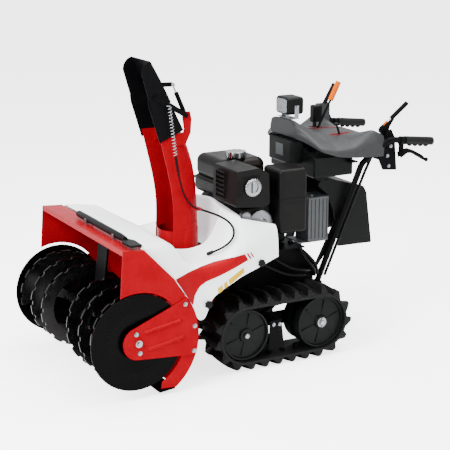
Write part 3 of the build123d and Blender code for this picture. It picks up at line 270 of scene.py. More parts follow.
# %% [markdown]
# Most shapes here are grids of points joined by four-sided faces, often with a face at
# both ends. Meshes can then be gathered into one piece or mirrored to the other side.

# %% Grids
def grid_faces(rows, columns, wrap_rows=False, wrap_columns=False):
    """The quads of a grid of points that is stored row by row."""
    faces = []
    for i in range(rows if wrap_rows else rows - 1):
        for j in range(columns if wrap_columns else columns - 1):
            k, m = (i + 1) % rows, (j + 1) % columns
            faces.append((i * columns + j, i * columns + m, k * columns + m, k * columns + j))
    return faces


def capped(points, columns):
    """Points and faces of a closed piece: rows of points, joined, with a face at each end."""
    faces = grid_faces(len(points) // columns, columns, False, True)
    return points, faces + [tuple(range(columns))[::-1],
                            tuple(range(len(points) - columns, len(points)))]


def gather(*meshes):
    """Several (points, faces) pairs as one."""
    points, faces = [], []
    for more_points, more_faces in meshes:
        faces += [tuple(i + len(points) for i in face) for face in more_faces]
        points += [list(p) for p in more_points]
    return points, faces


def mirrored(mesh):
    """The same mesh on the other side of the machine."""
    points, faces = mesh
    return [(-p[0], p[1], p[2]) for p in points], [tuple(face)[::-1] for face in faces]

print("faces of a cube", len(capped([(0, 0, 0)] * 8, 4)[1]))

# %% [markdown]
# Sheet metal and mouldings have no knife-sharp corners. A line gets round ones, and is
# then spread into an even number of points so that neighbouring lines can be joined.

# %% Lines
def rounded(points, reach, steps=5):
    """A polyline with round corners that begin at most reach before each corner."""
    points = [np.array(p, float) for p in points]
    line = [points[0]]
    for before, here, after in zip(points, points[1:], points[2:]):
        a, b = before - here, after - here
        la, lb = np.linalg.norm(a), np.linalg.norm(b)
        start = here + a / la * min(reach, 0.45 * la)
        end = here + b / lb * min(reach, 0.45 * lb)
        for t in np.linspace(0, 1, steps + 1):
            line.append((1 - t) ** 2 * start + 2 * t * (1 - t) * here + t ** 2 * end)
    line.append(points[-1])
    return np.array(line)


def spread(line, count):
    """count points at equal distances along a polyline."""
    step = np.r_[0, np.cumsum(np.linalg.norm(np.diff(line, axis=0), axis=1))]
    at = np.linspace(0, step[-1], count)
    return np.stack([np.interp(at, step, line[:, k]) for k in range(line.shape[1])], axis=1)

print("points on a rounded corner", len(rounded([(0, 0), (9, 0), (9, 9)], 3)))

# %% [markdown]
# ## The body cover
# The real cover is one big vacuum-formed shell: a flat nose over the auger housing, a
# steep drop to a dish with a round well for the chute, and a hump in front of the
# engine. Sections across the machine describe it. Their corners are rounded and the
# numbers are smoothed from front to back, which gives the soft moulded look that flat
# facets can't.

# %% The cover's sections
COVER_STATIONS = (
    (-600, (392, 586), (391, 592), (384, 597), 598), (-560, (391, 546), (388, 586), (376, 598), 600),
    (-482, (389, 466), (370, 566), (340, 593), 594), (-440, (389, 408), (362, 524), (330, 566), 574),
    (-400, (388, 345), (356, 478), (325, 500), 512), (-368, (386, 270), (354, 468), (322, 486), 494),
    (-335, (378, 268), (352, 464), (320, 480), 486), (-300, (372, 345), (350, 464), (320, 480), 482),
    (-262, (365, 366), (348, 466), (318, 482), 482), (-205, (354, 386), (342, 480), (304, 494), 500),
    (-175, (346, 396), (336, 490), (248, 545), 560), (-150, (340, 405), (328, 505), (196, 640), 648),
    (-112, (330, 413), (318, 520), (248, 629), 652), (-50, (314, 425), (302, 530), (268, 600), 652),
    (52, (284, 447), (280, 520), (266, 572), 652),
)


def smoothed_stations(stations, step, blur):
    """Stations at even steps along y: their numbers interpolated, then blurred over blur mm."""
    ys = np.array([s[0] for s in stations], float)
    table = np.array([[n for pair in s[1:-1] for n in pair] + [s[-1]] for s in stations], float)
    even = np.linspace(ys[0], ys[-1], int(round((ys[-1] - ys[0]) / step)) + 1)
    values = np.stack([np.interp(even, ys, table[:, k]) for k in range(table.shape[1])], axis=1)
    weights = np.exp(-((even[:, None] - even[None, :]) / blur) ** 2 / 2)
    weights /= weights.sum(axis=1, keepdims=True)
    blurred = weights @ values
    blurred[0], blurred[-1] = values[0], values[-1]
    return even, blurred


def half_section(row, reach):
    """The rounded line from the middle of a section out to its lower edge, as (x, z)."""
    pairs = [(row[i], row[i + 1]) for i in range(0, len(row) - 1, 2)]
    return rounded([(0, row[-1]), (12, row[-1] - 0.3)] + pairs[::-1], reach)

print("cover stations", len(COVER_STATIONS))

# %% [markdown]
# With the stations smoothed, two lookups answer where the cover is. Films and knobs
# use them to sit on the surface.

# %% Where the cover is
COVER_POINTS = 60  # in a half section
cover_ys, cover_rows = smoothed_stations(COVER_STATIONS, 6.0, 8.0)
cover_halves = [spread(half_section(row, 26), COVER_POINTS) for row in cover_rows]


def cover_at(y):
    """The cover's half section at y, as (x, z) points."""
    place = np.clip((y - cover_ys[0]) / (cover_ys[1] - cover_ys[0]), 0, len(cover_ys) - 1.001)
    i = int(place)
    return cover_halves[i] * (1 - place + i) + cover_halves[i + 1] * (place - i)


def cover_height(x, y):
    """Height of the cover's top at a point."""
    half = cover_at(y)
    return float(np.interp(abs(x), half[:, 0], half[:, 1]))


def cover_side(y, z):
    """How far out the cover's side is at a point."""
    half = cover_at(y)[::-1]
    return float(np.interp(z, half[:, 1], half[:, 0]))

print("cover sections", len(cover_halves))

# %% [markdown]
# The sections are joined into a skin, and the Solidify modifier gives it a wall. A
# modifier is baked into the mesh at once, so that later cuts start from a plain mesh.

# %% The cover's shell
WALL = 3.5 * MM


def whole_sections(ys, halves):
    """The points of both halves of each section, from one lower edge to the other."""
    points = []
    for y, half in zip(ys, halves):
        points += [(-x, y, z) for x, z in half[:0:-1]] + [(x, y, z) for x, z in half]
    return points


def bake_modifiers(piece):
    """Turns a piece's modifiers into its own mesh."""
    graph = bpy.context.evaluated_depsgraph_get()
    made = bpy.data.meshes.new_from_object(piece.evaluated_get(graph))
    piece.modifiers.clear()
    piece.data = made
    return piece


cover = new_piece("cover_shell", whole_sections(cover_ys, cover_halves),
                  grid_faces(len(cover_ys), 2 * COVER_POINTS - 1), white_moulding, "frame", "white_cover", 40)
wall = cover.modifiers.new("wall", "SOLIDIFY")
wall.thickness, wall.offset = WALL, -1 if cover.data.polygons[0].normal.z > 0 else 1
bake_modifiers(cover)
print("cover wall faces", len(cover.data.polygons))

# %% [markdown]
# ## The well and the engine's bay
# Openings are cut with the Boolean modifier. Its cutters are plates and bars: an
# outline at two levels, joined.

# %% Cutting tools
def prism(outline, low, high, axis=0):
    """Points and faces of a plate: an outline in the two other axes, from low to high."""
    points = []
    for level in (low, high):
        for a, b in outline:
            point = [a, b]
            point.insert(axis, level)
            points.append(point)
    return capped(points, len(outline))


def bar(low, high, near, far, axis):
    """A straight bar between two outline corners, from near to far along the axis."""
    return prism([low, (high[0], low[1]), high, (low[0], high[1])], near, far, axis)


def cut(piece, cutter_mesh):
    """Cuts a closed mesh, in mm, out of a piece."""
    points, faces = cutter_mesh
    mesh = bpy.data.meshes.new("cutter")
    mesh.from_pydata([(p[0] * MM, p[1] * MM, p[2] * MM) for p in points], [], faces)
    cutter = bpy.data.objects.new("cutter", mesh)
    bpy.context.scene.collection.objects.link(cutter)
    step = piece.modifiers.new("cut", "BOOLEAN")
    step.object, step.operation, step.solver = cutter, "DIFFERENCE", "EXACT"
    bake_modifiers(piece)
    bpy.data.objects.remove(cutter)
    return piece

print("faces of a bar", len(bar((0, 0), (1, 1), 0, 1, axis=2)[1]))

# %% [markdown]
# The well is round at its foot, where the chute turns, and widens sideways into an
# oval bowl. The bay behind it is a plain rectangle under the engine.

# %% Cuts in the cover
CHUTE = (0, -262)
WELL = ((104.5, 464), (108, 468), (120, 480), (131, 505), (139, 545), (145, 595), (150, 660), (152, 720))
BOWL_FOOT, BOWL_TOP, BOWL_WIDTH, BOWL_CURVE = 482, 620, 0.62, 0.8
WELL_SIDES = 96
rim_radii, rim_heights = zip(*WELL)


def in_well(turn, radius, height):
    """A point of the well: a cone at its foot that widens sideways into an oval bowl."""
    wide = 1 + BOWL_WIDTH * float(np.interp(height, (BOWL_FOOT, BOWL_TOP), (0, 1))) ** BOWL_CURVE
    return CHUTE[0] + radius * wide * math.cos(turn), CHUTE[1] + radius * math.sin(turn), height


well_turns = [2 * math.pi * k / WELL_SIDES for k in range(WELL_SIDES)]
well_rings = ((0.01, 462), (104, 462), *WELL, (0.01, 720))
cut(cover, capped([in_well(turn, *ring) for ring in well_rings for turn in well_turns], WELL_SIDES))
cut(cover, bar((-253, -106), (253, 90), 380, 700, axis=2))
cover.data.shade_smooth()
cover.data.set_sharp_from_angle(angle=math.radians(40))
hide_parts("body_cover")
print("cover faces", len(cover.data.polygons))

# %% [markdown]
# The well's wall is a thin skin. Each of its columns climbs from the foot until it
# meets the cover, so its rim follows the cover's top.

# %% The well's wall
WELL_LEVELS = 20
FOOT_RADIUS, FOOT_Z = 103.8, 463.2
HALVINGS = 22  # enough to find the rim to a fraction of a micrometre
well_points = []
for turn in well_turns:
    low, high = 470.0, 715.0
    for _ in range(HALVINGS):
        middle = (low + high) / 2
        x, y, z = in_well(turn, float(np.interp(middle, rim_heights, rim_radii)), middle)
        if z > cover_height(x, y):
            high = middle
        else:
            low = middle
    well_points.append(in_well(turn, FOOT_RADIUS, FOOT_Z))
    for z in np.linspace(464, low + 0.4, WELL_LEVELS):
        well_points.append(in_well(turn, float(np.interp(z, rim_heights, rim_radii)), z))
well = new_piece("cover_well", well_points, grid_faces(WELL_SIDES, WELL_LEVELS + 1, True, False),
                 white_moulding, "frame", "white_cover", 60)
skin = well.modifiers.new("wall", "SOLIDIFY")
skin.thickness, skin.offset = 2.5 * MM, 0
bake_modifiers(well)
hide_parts("body_cover")
print("well faces", len(well.data.polygons))

# %% [markdown]
# ## Decals on the cover
# A red band runs back along each side and ends in a slanted tip with two slashes.
# It follows the cover's side as film does, so it is a strip of points laid on the
# section lines, 1.3 mm out. Small plain labels sit along the lower edge.

# %% Decals on the cover
def side_film(name, lower, upper, material, lift=1.3, across=14, step=5.0):
    """A film on both cover sides, between a lower and an upper (y, z) line."""
    lower, upper = np.array(lower, float), np.array(upper, float)
    count = max(3, int((max(lower[-1, 0], upper[-1, 0]) - min(lower[0, 0], upper[0, 0])) / step))
    bottom, top = spread(lower, count), spread(upper, count)
    points = []
    for low, high in zip(bottom, top):
        for t in np.linspace(0, 1, across):
            y, z = low * (1 - t) + high * t
            drop = cover_side(y, z - 3) - cover_side(y, z + 3)
            out = np.array((6.0, drop)) / math.hypot(6.0, drop)
            points.append((cover_side(y, z) + lift * out[0], y, z + lift * out[1]))
    one = (points, grid_faces(count, across))
    return new_piece(name, *gather(one, mirrored(one)), material, "frame", "white_cover", 60)


band_lower = [(-464, 447), (-440, 412), (-405, 356), (-390, 336), (-376, 370), (-350, 399), (-316, 415),
              (-255, 428), (-180, 447), (-112, 464)]
band_upper = [(-464, 452), (-420, 459), (-380, 465), (-340, 470), (-300, 474), (-255, 479), (-210, 484),
              (-180, 487), (-150, 490), (-128, 491)]
side_film("cover_band", band_lower, band_upper, red_film)
side_film("cover_slash_1", [(-103, 466), (-95, 468)], [(-119, 491), (-111, 492)], red_film, across=5, step=3)
side_film("cover_slash_2", [(-87, 470), (-81, 472)], [(-102, 492), (-96, 493)], red_film, across=5, step=3)
LABEL_SLOPE = 0.46  # the labels climb with the cover's lower edge
for index, (y, width) in enumerate(((-268, 22), (-238, 16), (-214, 78))):
    foot = 350 + (y + 268) * LABEL_SLOPE
    label = side_film(f"cover_label_{index}", [(y, foot + 10), (y + width, foot + 10 + width * 0.44)],
                      [(y - 3, foot + 30), (y + width - 3, foot + 30 + width * 0.44)], yellow_film,
                      across=4, step=4)
print("faces of the last label", len(label.data.polygons))

# %% [markdown]
# ## Star knobs
# The cover is held by hand knobs with lobes, moulded in black plastic. A knob is a
# short turned body whose radius swells and shrinks around it.

# %% Star knobs
def star_knob(x, y, z, radius=15, lobes=7):
    """A lobed knob whose axis lies along x."""
    rings = ((-4, 0.5), (0, 0.55), (1, 0.9), (4, 1.0), (10, 1.0), (13, 0.86), (14, 0.4))
    points, sides = [], 56
    for step, share in rings:
        for k in range(sides):
            turn = 2 * math.pi * k / sides
            reach = radius * share * (1 + 0.09 * math.cos(lobes * turn))
            points.append((x + step, y + reach * math.cos(turn), z + reach * math.sin(turn)))
    return capped(points, sides)


knobs = gather(star_knob(cover_side(-318, 326), -318, 326), star_knob(cover_side(-46, 440), -46, 440))
new_piece("cover_knobs", *gather(knobs, mirrored(knobs)), black_abs, "frame", "black_plastic", 50)
print("points in a pair of knobs", len(knobs[0]))

# %% [markdown]
# ## Auger ribbons
# Each half of the auger is a steel ribbon wound round the axle and held by bolted
# trapezoid brackets. The outer edge is notched so that it bites into packed snow. The
# ribbon is drawn as a helix of small rectangles whose outer radius steps in and out.

# %% Auger ribbons
AUGER = (-636.0, 230.0)  # y and z of the axle
PITCH, RIBBON_START, RIBBON_END = 118.0, 78.0, 378.0
RIBBON_INNER, RIBBON_OUTER, NOTCH, HALF_THICK = 126, 172, 8, 3
TEETH, RIBBON_STEPS = 17, 760  # in one turn, and in the whole ribbon
TAPER, TAPER_DEPTH = 6, 20  # the ribbon narrows over its first and last millimetres


def helix_turn(x):
    """How far the ribbon has turned at x, in radians."""
    return 2 * math.pi * (x - RIBBON_START) / PITCH


ribbon_points = []
for x in np.linspace(RIBBON_START, RIBBON_END, RIBBON_STEPS):
    tooth = ((x - RIBBON_START) / PITCH * TEETH) % 1.0
    outer = RIBBON_OUTER + NOTCH * np.clip((abs(tooth - 0.5) - 0.13) / 0.05, 0, 1)
    fade = min(1.0, (x - RIBBON_START) / TAPER, (RIBBON_END - x) / TAPER)
    inner = RIBBON_INNER + (1 - fade) * TAPER_DEPTH
    across, up = math.cos(helix_turn(x)), math.sin(helix_turn(x))
    for radius, lean in ((inner, -1), (outer, -1), (outer, 1), (inner, 1)):
        ribbon_points.append((x + lean * HALF_THICK, AUGER[0] + radius * across, AUGER[1] + radius * up))
ribbon = capped(ribbon_points, 4)
print("ribbon points", len(ribbon_points))

# %% [markdown]
# Five brackets on each side carry the ribbon from a welded sleeve. Each is a trapezoid
# plate, laid flat against the ribbon, with two hex bolts near its wide end.

# %% Brackets
def bracket(x):
    """A trapezoid plate from the sleeve out to the ribbon at x, with two bolt heads."""
    turn = helix_turn(x)
    out = np.array((0, math.cos(turn), math.sin(turn)))
    along = np.array((0.16, -math.sin(turn), math.cos(turn)))
    along /= np.linalg.norm(along)
    face = np.cross(out, along)
    centre = np.array((x, *AUGER)) + face * 6
    outline = ((17, -17), (17, 17), (118, 24), (148, 40), (148, -40), (118, -24))
    parts = [capped([centre + out * r + along * s + face * t for t in (-2.5, 2.5) for r, s in outline], 6)]
    for s in (-26, 26):
        head = []
        for t, radius in ((2, 8), (8, 8), (9.5, 6)):
            for k in range(6):
                a = math.pi * k / 3
                head.append(centre + out * (138 + radius * math.cos(a))
                            + along * (s + radius * math.sin(a)) + face * t)
        parts.append(capped(head, 6))
    return gather(*parts)


brackets = [bracket(x) for x in (90, 168, 246, 324, 369)]
print("faces of a bracket", len(brackets[0][1]))

# %% [markdown]
# The sleeve is a turned body: a profile of places and radii, swept round the axle.

# %% Sleeve and auger
def turned_mesh(profile, centre, sides=48):
    """A body turned about the line along x through centre: profile is (x, radius) points."""
    points = []
    for x, radius in profile:
        for k in range(sides):
            turn = 2 * math.pi * k / sides
            points.append((x, centre[1] + radius * math.cos(turn), centre[2] + radius * math.sin(turn)))
    return capped(points, sides)


sleeve_profile = [(62, 14.2), (62, 20), (64, 21), (388, 21), (390, 20), (390, 14.2)]
half_auger = gather(ribbon, turned_mesh(sleeve_profile, (0, *AUGER), sides=40), *brackets)
ribbons = new_piece("auger_ribbons", *gather(half_auger, mirrored(half_auger)), black_enamel, "auger",
                    "auger_black", 30)
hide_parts("auger_flights")
print("ribbon faces", len(ribbons.data.polygons))

# %% [markdown]
# ## Rubber tracks
# A track is one moulded rubber loop with steel cords inside. Tall lugs cross it in a
# shallow V, and small gussets brace them at both edges. All of it follows the loop:
# two straight runs and two half circles round the axles.

# %% Rubber tracks
FRONT_AXLE, REAR_AXLE, AXLE_Z, LOOP_RADIUS, LUGS = -121.0, 235.0, 150.0, 122.0, 23
RUN = REAR_AXLE - FRONT_AXLE
LOOP = 2 * RUN + 2 * math.pi * LOOP_RADIUS


def on_loop(distance, radius):
    """A (y, z) point at a distance along the loop, radius away from the axle line."""
    d = distance % LOOP
    bend = math.pi * LOOP_RADIUS
    if d < RUN:
        return REAR_AXLE - d, AXLE_Z - radius
    if d < RUN + bend:
        turn = -math.pi / 2 - (d - RUN) / LOOP_RADIUS
        return FRONT_AXLE + radius * math.cos(turn), AXLE_Z + radius * math.sin(turn)
    if d < 2 * RUN + bend:
        return FRONT_AXLE + d - RUN - bend, AXLE_Z + radius
    turn = math.pi / 2 - (d - 2 * RUN - bend) / LOOP_RADIUS
    return REAR_AXLE + radius * math.cos(turn), AXLE_Z + radius * math.sin(turn)

print("loop length", round(LOOP), "mm")

# %% [markdown]
# The band is one profile swept round the loop. On it stand the lugs, made of seven
# trapezoids across the width, the gussets at both edges and the guide horns inside.

# %% Band and lugs
BAND = LOOP_RADIUS - 1  # lugs and gussets begin inside the band
band_profile = ((178, 111), (178, 120), (181, 122), (335, 122), (338, 120), (338, 111), (300, 110.3),
                (286, 110.3), (240, 110.3), (215, 110.3))
band_steps = 240
band_points = [(x, *on_loop(d, radius)) for d in np.linspace(0, LOOP, band_steps, endpoint=False)
               for x, radius in band_profile]
track_parts = [(band_points, grid_faces(band_steps, len(band_profile), True, True))]
lug_sections = ((180, -13, 140), (186, -11, 148), (222, 0, 150), (258, 9, 149), (294, 0, 150),
                (330, -11, 148), (336, -13, 140))
horn_outline = ((-9, 111), (-5, 99), (5, 99), (9, 111))
gusset_outline = ((-11, BAND), (19, BAND), (-2, 141))
for lug in range(LUGS):
    middle = 20 + lug * LOOP / LUGS
    lug_points = []
    for x, lean, top in lug_sections:
        for offset, radius in ((-15, BAND), (-8.5, top - 3), (-6, top), (6, top), (8.5, top - 3), (15, BAND)):
            lug_points.append((x, *on_loop(middle + lean + offset, radius)))
    track_parts.append(capped(lug_points, 6))
    for (low, high), outline in (((181, 196), gusset_outline), ((320, 335), gusset_outline),
                                 ((252, 274), horn_outline)):
        block = [(x, *on_loop(middle + offset, radius)) for x in (low, high) for offset, radius in outline]
        track_parts.append(capped(block, len(outline)))
one_track = gather(*track_parts)
tracks = new_piece("rubber_tracks", *gather(one_track, mirrored(one_track)), moulded_rubber, "frame",
                   "rubber", 38)
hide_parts("track_belts")
print("track faces", len(tracks.data.polygons))

# %% [markdown]
# ## The console
# The dashboard is a thick-walled moulding in mid-grey ABS, raised to a hood in front,
# hollowed in the middle and swept up to both sides. It is made like the cover, from
# smoothed sections, and its gates for the levers are cut through it.

# %% The console
CONSOLE_POINTS = 48  # in a half section
CONSOLE_STATIONS = (
    (238, (100, 884), (104, 910), (96, 944), (52, 955), 955),
    (262, (130, 872), (136, 894), (112, 922), (56, 952), 953),
    (286, (220, 844), (225, 855), (156, 894), (62, 934), 936),
    (360, (240, 818), (244, 842), (176, 872), (90, 894), 900),
    (440, (248, 808), (252, 850), (206, 868), (110, 886), 896),
    (537, (250, 803), (254, 880), (232, 921), (130, 889), 891),
    (584, (246, 801), (250, 872), (234, 894), (122, 872), 874),
)
console_ys, console_rows = smoothed_stations(CONSOLE_STATIONS, 4.0, 9.0)
console_halves = [spread(half_section(row, 20), CONSOLE_POINTS) for row in console_rows]
console_points = whole_sections(console_ys, console_halves)
columns = 2 * CONSOLE_POINTS - 1
# nose and tail panels close the ends
console_faces = grid_faces(len(console_ys), columns)
console_faces += [tuple(range(columns)),
                  tuple(range(len(console_points) - columns, len(console_points)))[::-1]]
print("console points", len(console_points))

# %% [markdown]
# The shell gets its wall, and is cut for two lever gates, the joystick and both
# handle tubes.

# %% The console's shell
GATES = ((-7, 7, 356, 535), (104, 116, 404, 498))
JOYSTICK_WELL = (-84, -36, 404, 460)
TUBE_X, TUBE_GAP = 222, 9
console = new_piece("console_shell", console_points, console_faces, console_grey, "frame",
                    "console_grey", 34)
shell = console.modifiers.new("wall", "SOLIDIFY")
shell.thickness, shell.offset = WALL, -1 if console.data.polygons[40].normal.z > 0 else 1
bake_modifiers(console)
for low, high, front, rear in (*GATES, JOYSTICK_WELL):
    cut(console, bar((low, front), (high, rear), 840, 990, axis=2))
for middle in (TUBE_X, -TUBE_X):
    cut(console, prism([(middle - TUBE_GAP, 546), (middle + TUBE_GAP, 548), (middle + TUBE_GAP, 610),
                        (middle - TUBE_GAP, 610)], 780, 960, axis=2))
console.data.shade_smooth()
console.data.set_sharp_from_angle(angle=math.radians(34))
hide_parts("console_panel")
print("console faces", len(console.data.polygons))

# %% [markdown]
# Films on the console are small grids laid on its top, like those on the cover.

# %% Where the console is
def console_height(x, y):
    """Height of the console's top at a point."""
    row = round((y - console_ys[0]) / (console_ys[1] - console_ys[0]))
    half = console_halves[int(np.clip(row, 0, len(console_ys) - 1))]
    return float(np.interp(abs(x), half[:, 0], half[:, 1]))


def console_film(name, outline, material, lift=0.8):
    """A thin film on the console inside a four-cornered (x, y) outline."""
    a, b, c, d = (np.array(p, float) for p in outline)
    points, steps = [], 10
    for s in np.linspace(0, 1, steps):
        for t in np.linspace(0, 1, steps):
            x, y = (a * (1 - t) + b * t) * (1 - s) + (d * (1 - t) + c * t) * s
            points.append((x, y, console_height(x, y) + lift))
    return new_piece(name, points, grid_faces(steps, steps), material, "frame", "console_grey", 60)

print("console height in the middle", round(console_height(0, 400)))

# %% [markdown]
# Printed lines run along both edges of two gates. They lie on the console's top.

# %% Lines on the console
for index, (low, high, front, rear) in enumerate(GATES):
    for letter, x in (("a", low - 5), ("b", high + 1)):
        stripe = [(x, front - 4), (x + 4, front - 4), (x + 4, rear + 4), (x, rear + 4)]
        line = console_film(f"gate_line_{index}{letter}", stripe, red_film)
print("last gate line is", [round(v, 3) for v in line.dimensions], "m")

# %% [markdown]
# ## The headlamp's lens
# Behind a clear pressed lens sits a bright reflector bowl. Both are rings of one outline
# with round corners, made smaller from the rim inwards. The lamp tilts on its bracket,
# so they ride with its housing.

# %% The headlamp's lens
LAMP_Z = 1009


def rounded_box(low, high, corner):
    """The outline of a box with round corners, between its low and high points."""
    outline = []
    for x, y, first in ((high[0] - corner, high[1] - corner, 0), (low[0] + corner, high[1] - corner, 90),
                        (low[0] + corner, low[1] + corner, 180), (high[0] - corner, low[1] + corner, 270)):
        for k in range(7):
            turn = math.radians(first + 15 * k)
            outline.append((x + corner * math.cos(turn), y + corner * math.sin(turn)))
    return outline


lens_outline = rounded_box((-40, -29), (40, 29), 12)
corners = len(lens_outline)
lens_rings = ((231.5, 1.0), (229.0, 1.0), (227.6, 0.86), (227.0, 0.5), (226.8, 0.1))
bowl_rings = ((233, 0.97), (245, 0.86), (256, 0.62), (262, 0.25))
for name, rings, ends, material in (("lamp_lens", lens_rings, (0, 4), lens_clear),
                                    ("lamp_bowl", bowl_rings, (3,), reflector)):
    points = [(x * share, y, LAMP_Z + z * share) for y, share in rings for x, z in lens_outline]
    faces = grid_faces(len(rings), corners, False, True)
    faces += [tuple(range(end * corners, (end + 1) * corners)) for end in ends]
    new_piece(name, points, faces, material, "headlamp", "black_plastic", 60)

# %% [markdown]
# ## Cowl lip, cooling slats and choke dial
# The rear cowl is two halves that meet in a lip. The hood has slats in a raised frame,
# and small ribs on its side. The choke dial has a chromed rim, lobed for the fingers.

# %% Cowl lip, cooling slats and choke dial
cowl_lip = gather(prism(rounded_box((106.6, 74.6), (253.4, 209.4), 17), 668, 672, axis=2),
                  prism(rounded_box((107.2, 75.2), (252.8, 208.8), 17), 652, 654, axis=2))
new_piece("cowl_lip", *cowl_lip, engine_black, "frame", "engine_plastic")
hood_ribs = [bar((84, z), (152, z + 3), -128.5, -123, axis=1) for z in range(679, 800, 18)]
hood_ribs += [bar((x, 679), (x + 3, 790), -128.5, -123, axis=1) for x in (82, 151)]
hood_ribs += [bar((y, 774), (y + 4, 784), 247.5, 250.5, axis=0) for y in range(-100, -10, 9)]
hood_ribs += [bar((-120, z), (-94, z + 4), 247.5, 250.5, axis=0) for z in range(700, 772, 9)]
new_piece("hood_ribs", *gather(*hood_ribs), engine_black, "frame", "engine_plastic")
DIAL_Y, DIAL_Z, DIAL_LOBES, DIAL_SIDES = -52, 738, 24, 96
rim_points = []
for x, radius, lobe in ((250, 33, 0), (251, 36, 1.6), (259, 36, 1.6), (261, 33, 0), (261, 22, 0)):
    for k in range(DIAL_SIDES):
        turn = 2 * math.pi * k / DIAL_SIDES
        reach = radius + lobe * math.cos(DIAL_LOBES * turn)
        rim_points.append((x, DIAL_Y + reach * math.cos(turn), DIAL_Z + reach * math.sin(turn)))
new_piece("dial_rim", rim_points, grid_faces(5, DIAL_SIDES, False, True), satin_chrome, "choke_dial",
          "chrome_cap", 50)
print("ribs on the hood", len(hood_ribs))

# %% [markdown]
# ## Hoses and plain labels
# Four hoses run from the transmission down to the tracks. A hose is a round tube along
# a line with round bends. Two small labels sit on the left dead-man lever, and a plate
# without its lettering on the control box.

# %% Hoses and plain labels
def tube_mesh(path, radius, sides=12):
    """Points and faces of a round tube along a list of points, with flat ends."""
    path = np.array(path, float)
    points, side = [], None
    for here, way in zip(path, np.gradient(path, axis=0)):
        way = way / np.linalg.norm(way)
        if side is None:
            side = np.cross(way, (0.3, 0.5, 0.81))
        side = side - way * np.dot(side, way)
        side /= np.linalg.norm(side)
        up = np.cross(way, side)
        for k in range(sides):
            turn = 2 * math.pi * k / sides
            points.append(here + radius * (side * math.cos(turn) + up * math.sin(turn)))
    return capped(points, sides)


HOSE_RADIUS = 8
hoses = []
for route in (((150, -60, 452), (176, -20, 430), (196, 60, 372), (214, 150, 330), (196, 236, 318)),
              ((158, 40, 452), (186, 84, 410), (204, 160, 356), (200, 232, 340), (168, 282, 330)),
              ((120, 200, 452), (172, 226, 420), (196, 250, 372), (182, 292, 330), (156, 306, 300)),
              ((100, 236, 430), (158, 262, 400), (176, 300, 352), (160, 318, 306))):
    hoses.append(tube_mesh(spread(rounded(route, 60, 8), 60), HOSE_RADIUS, 14))
new_piece("transmission_hoses", *gather(*hoses), cable_sheath, "frame", "rubber", 60)
lever_labels = ((orange_grip, ((594, 926), (612, 940), (607, 947), (589, 933))),
                (white_film, ((614, 941), (630, 953), (625, 960), (609, 948))))
for index, (film, outline) in enumerate(lever_labels):
    new_piece(f"lever_label_{index}", *prism(outline, 224.6, 225.2), film, "deadman_lever_left",
              "black_paint")
box_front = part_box("control_box")[0][1] * 1000
new_piece("box_patch", *bar((-30, 800), (30, 850), box_front - 0.8, box_front + 0.5, axis=1), case_grey,
          "frame", "battery_grey")
print("hoses", len(hoses), "labels", len(lever_labels))

# %% [markdown]
# ## Wheel fittings
# A screw holds each driven wheel and a pinned hub each idler. The screws and the ribs
# ride with their wheels, but the idlers' hubs are the still ends of their axles.

# %% Wheel fittings
wheel_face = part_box("drive_wheel_left")[1][0] * 1000 - 13
RIB_ROOT, RIB_HALF_WIDTH, RIBS = 31, 2.6, 6


def wheel_ribs(y, reach):
    """Raised radial ribs on a wheel's outer face, from its hub out to reach."""
    bars = []
    for k in range(RIBS):
        turn = 2 * math.pi * (k + 0.3) / RIBS
        out = np.array((math.cos(turn), math.sin(turn)))
        side = np.array((-math.sin(turn), math.cos(turn))) * RIB_HALF_WIDTH
        outline = [np.array((y, AXLE_Z)) + out * r + side * s
                   for r, s in ((RIB_ROOT, -1), (reach, -1), (reach, 1), (RIB_ROOT, 1))]
        bars.append(prism(outline, wheel_face - 10, wheel_face - 3.2))
    return gather(*bars)


screw = turned_mesh([(wheel_face + 6, 10), (wheel_face + 12, 10), (wheel_face + 13.6, 8)],
                    (0, FRONT_AXLE, AXLE_Z), sides=24)
new_piece("axle_screw_left", *screw, zinc_plate, "drive_wheel_left", "zinc", 40)
new_piece("axle_screw_right", *mirrored(screw), zinc_plate, "drive_wheel_right", "zinc", 40)
hub_profile = [(wheel_face + 4.2, 21), (wheel_face + 8.4, 20.6), (wheel_face + 8.6, 13),
               (wheel_face + 15, 12.6), (wheel_face + 16.4, 10)]
pin_line = [(wheel_face + 12, REAR_AXLE, AXLE_Z + rise) for rise in (-19, 0, 19)]
hub_end = gather(turned_mesh(hub_profile, (0, REAR_AXLE, AXLE_Z), sides=32), tube_mesh(pin_line, 3, 10))
new_piece("idler_ends", *gather(hub_end, mirrored(hub_end)), zinc_plate, "frame", "zinc", 40)
for name, y, reach in (("drive_wheel", FRONT_AXLE, 88.0), ("idler", REAR_AXLE, 91.0)):
    ribs = wheel_ribs(y, reach)
    new_piece(f"{name}_ribs_left", *ribs, black_abs, f"{name}_left", "black_plastic")
    new_piece(f"{name}_ribs_right", *mirrored(ribs), black_abs, f"{name}_right", "black_plastic")
print("wheel face at", round(wheel_face, 1), "mm")

# %% [markdown]
# ## Sleeves and the cable's guide
# The gear lever has an orange sleeve and the clearing stick's pole a foam one. A wire
# loop on the chute guides the deflector's cable.

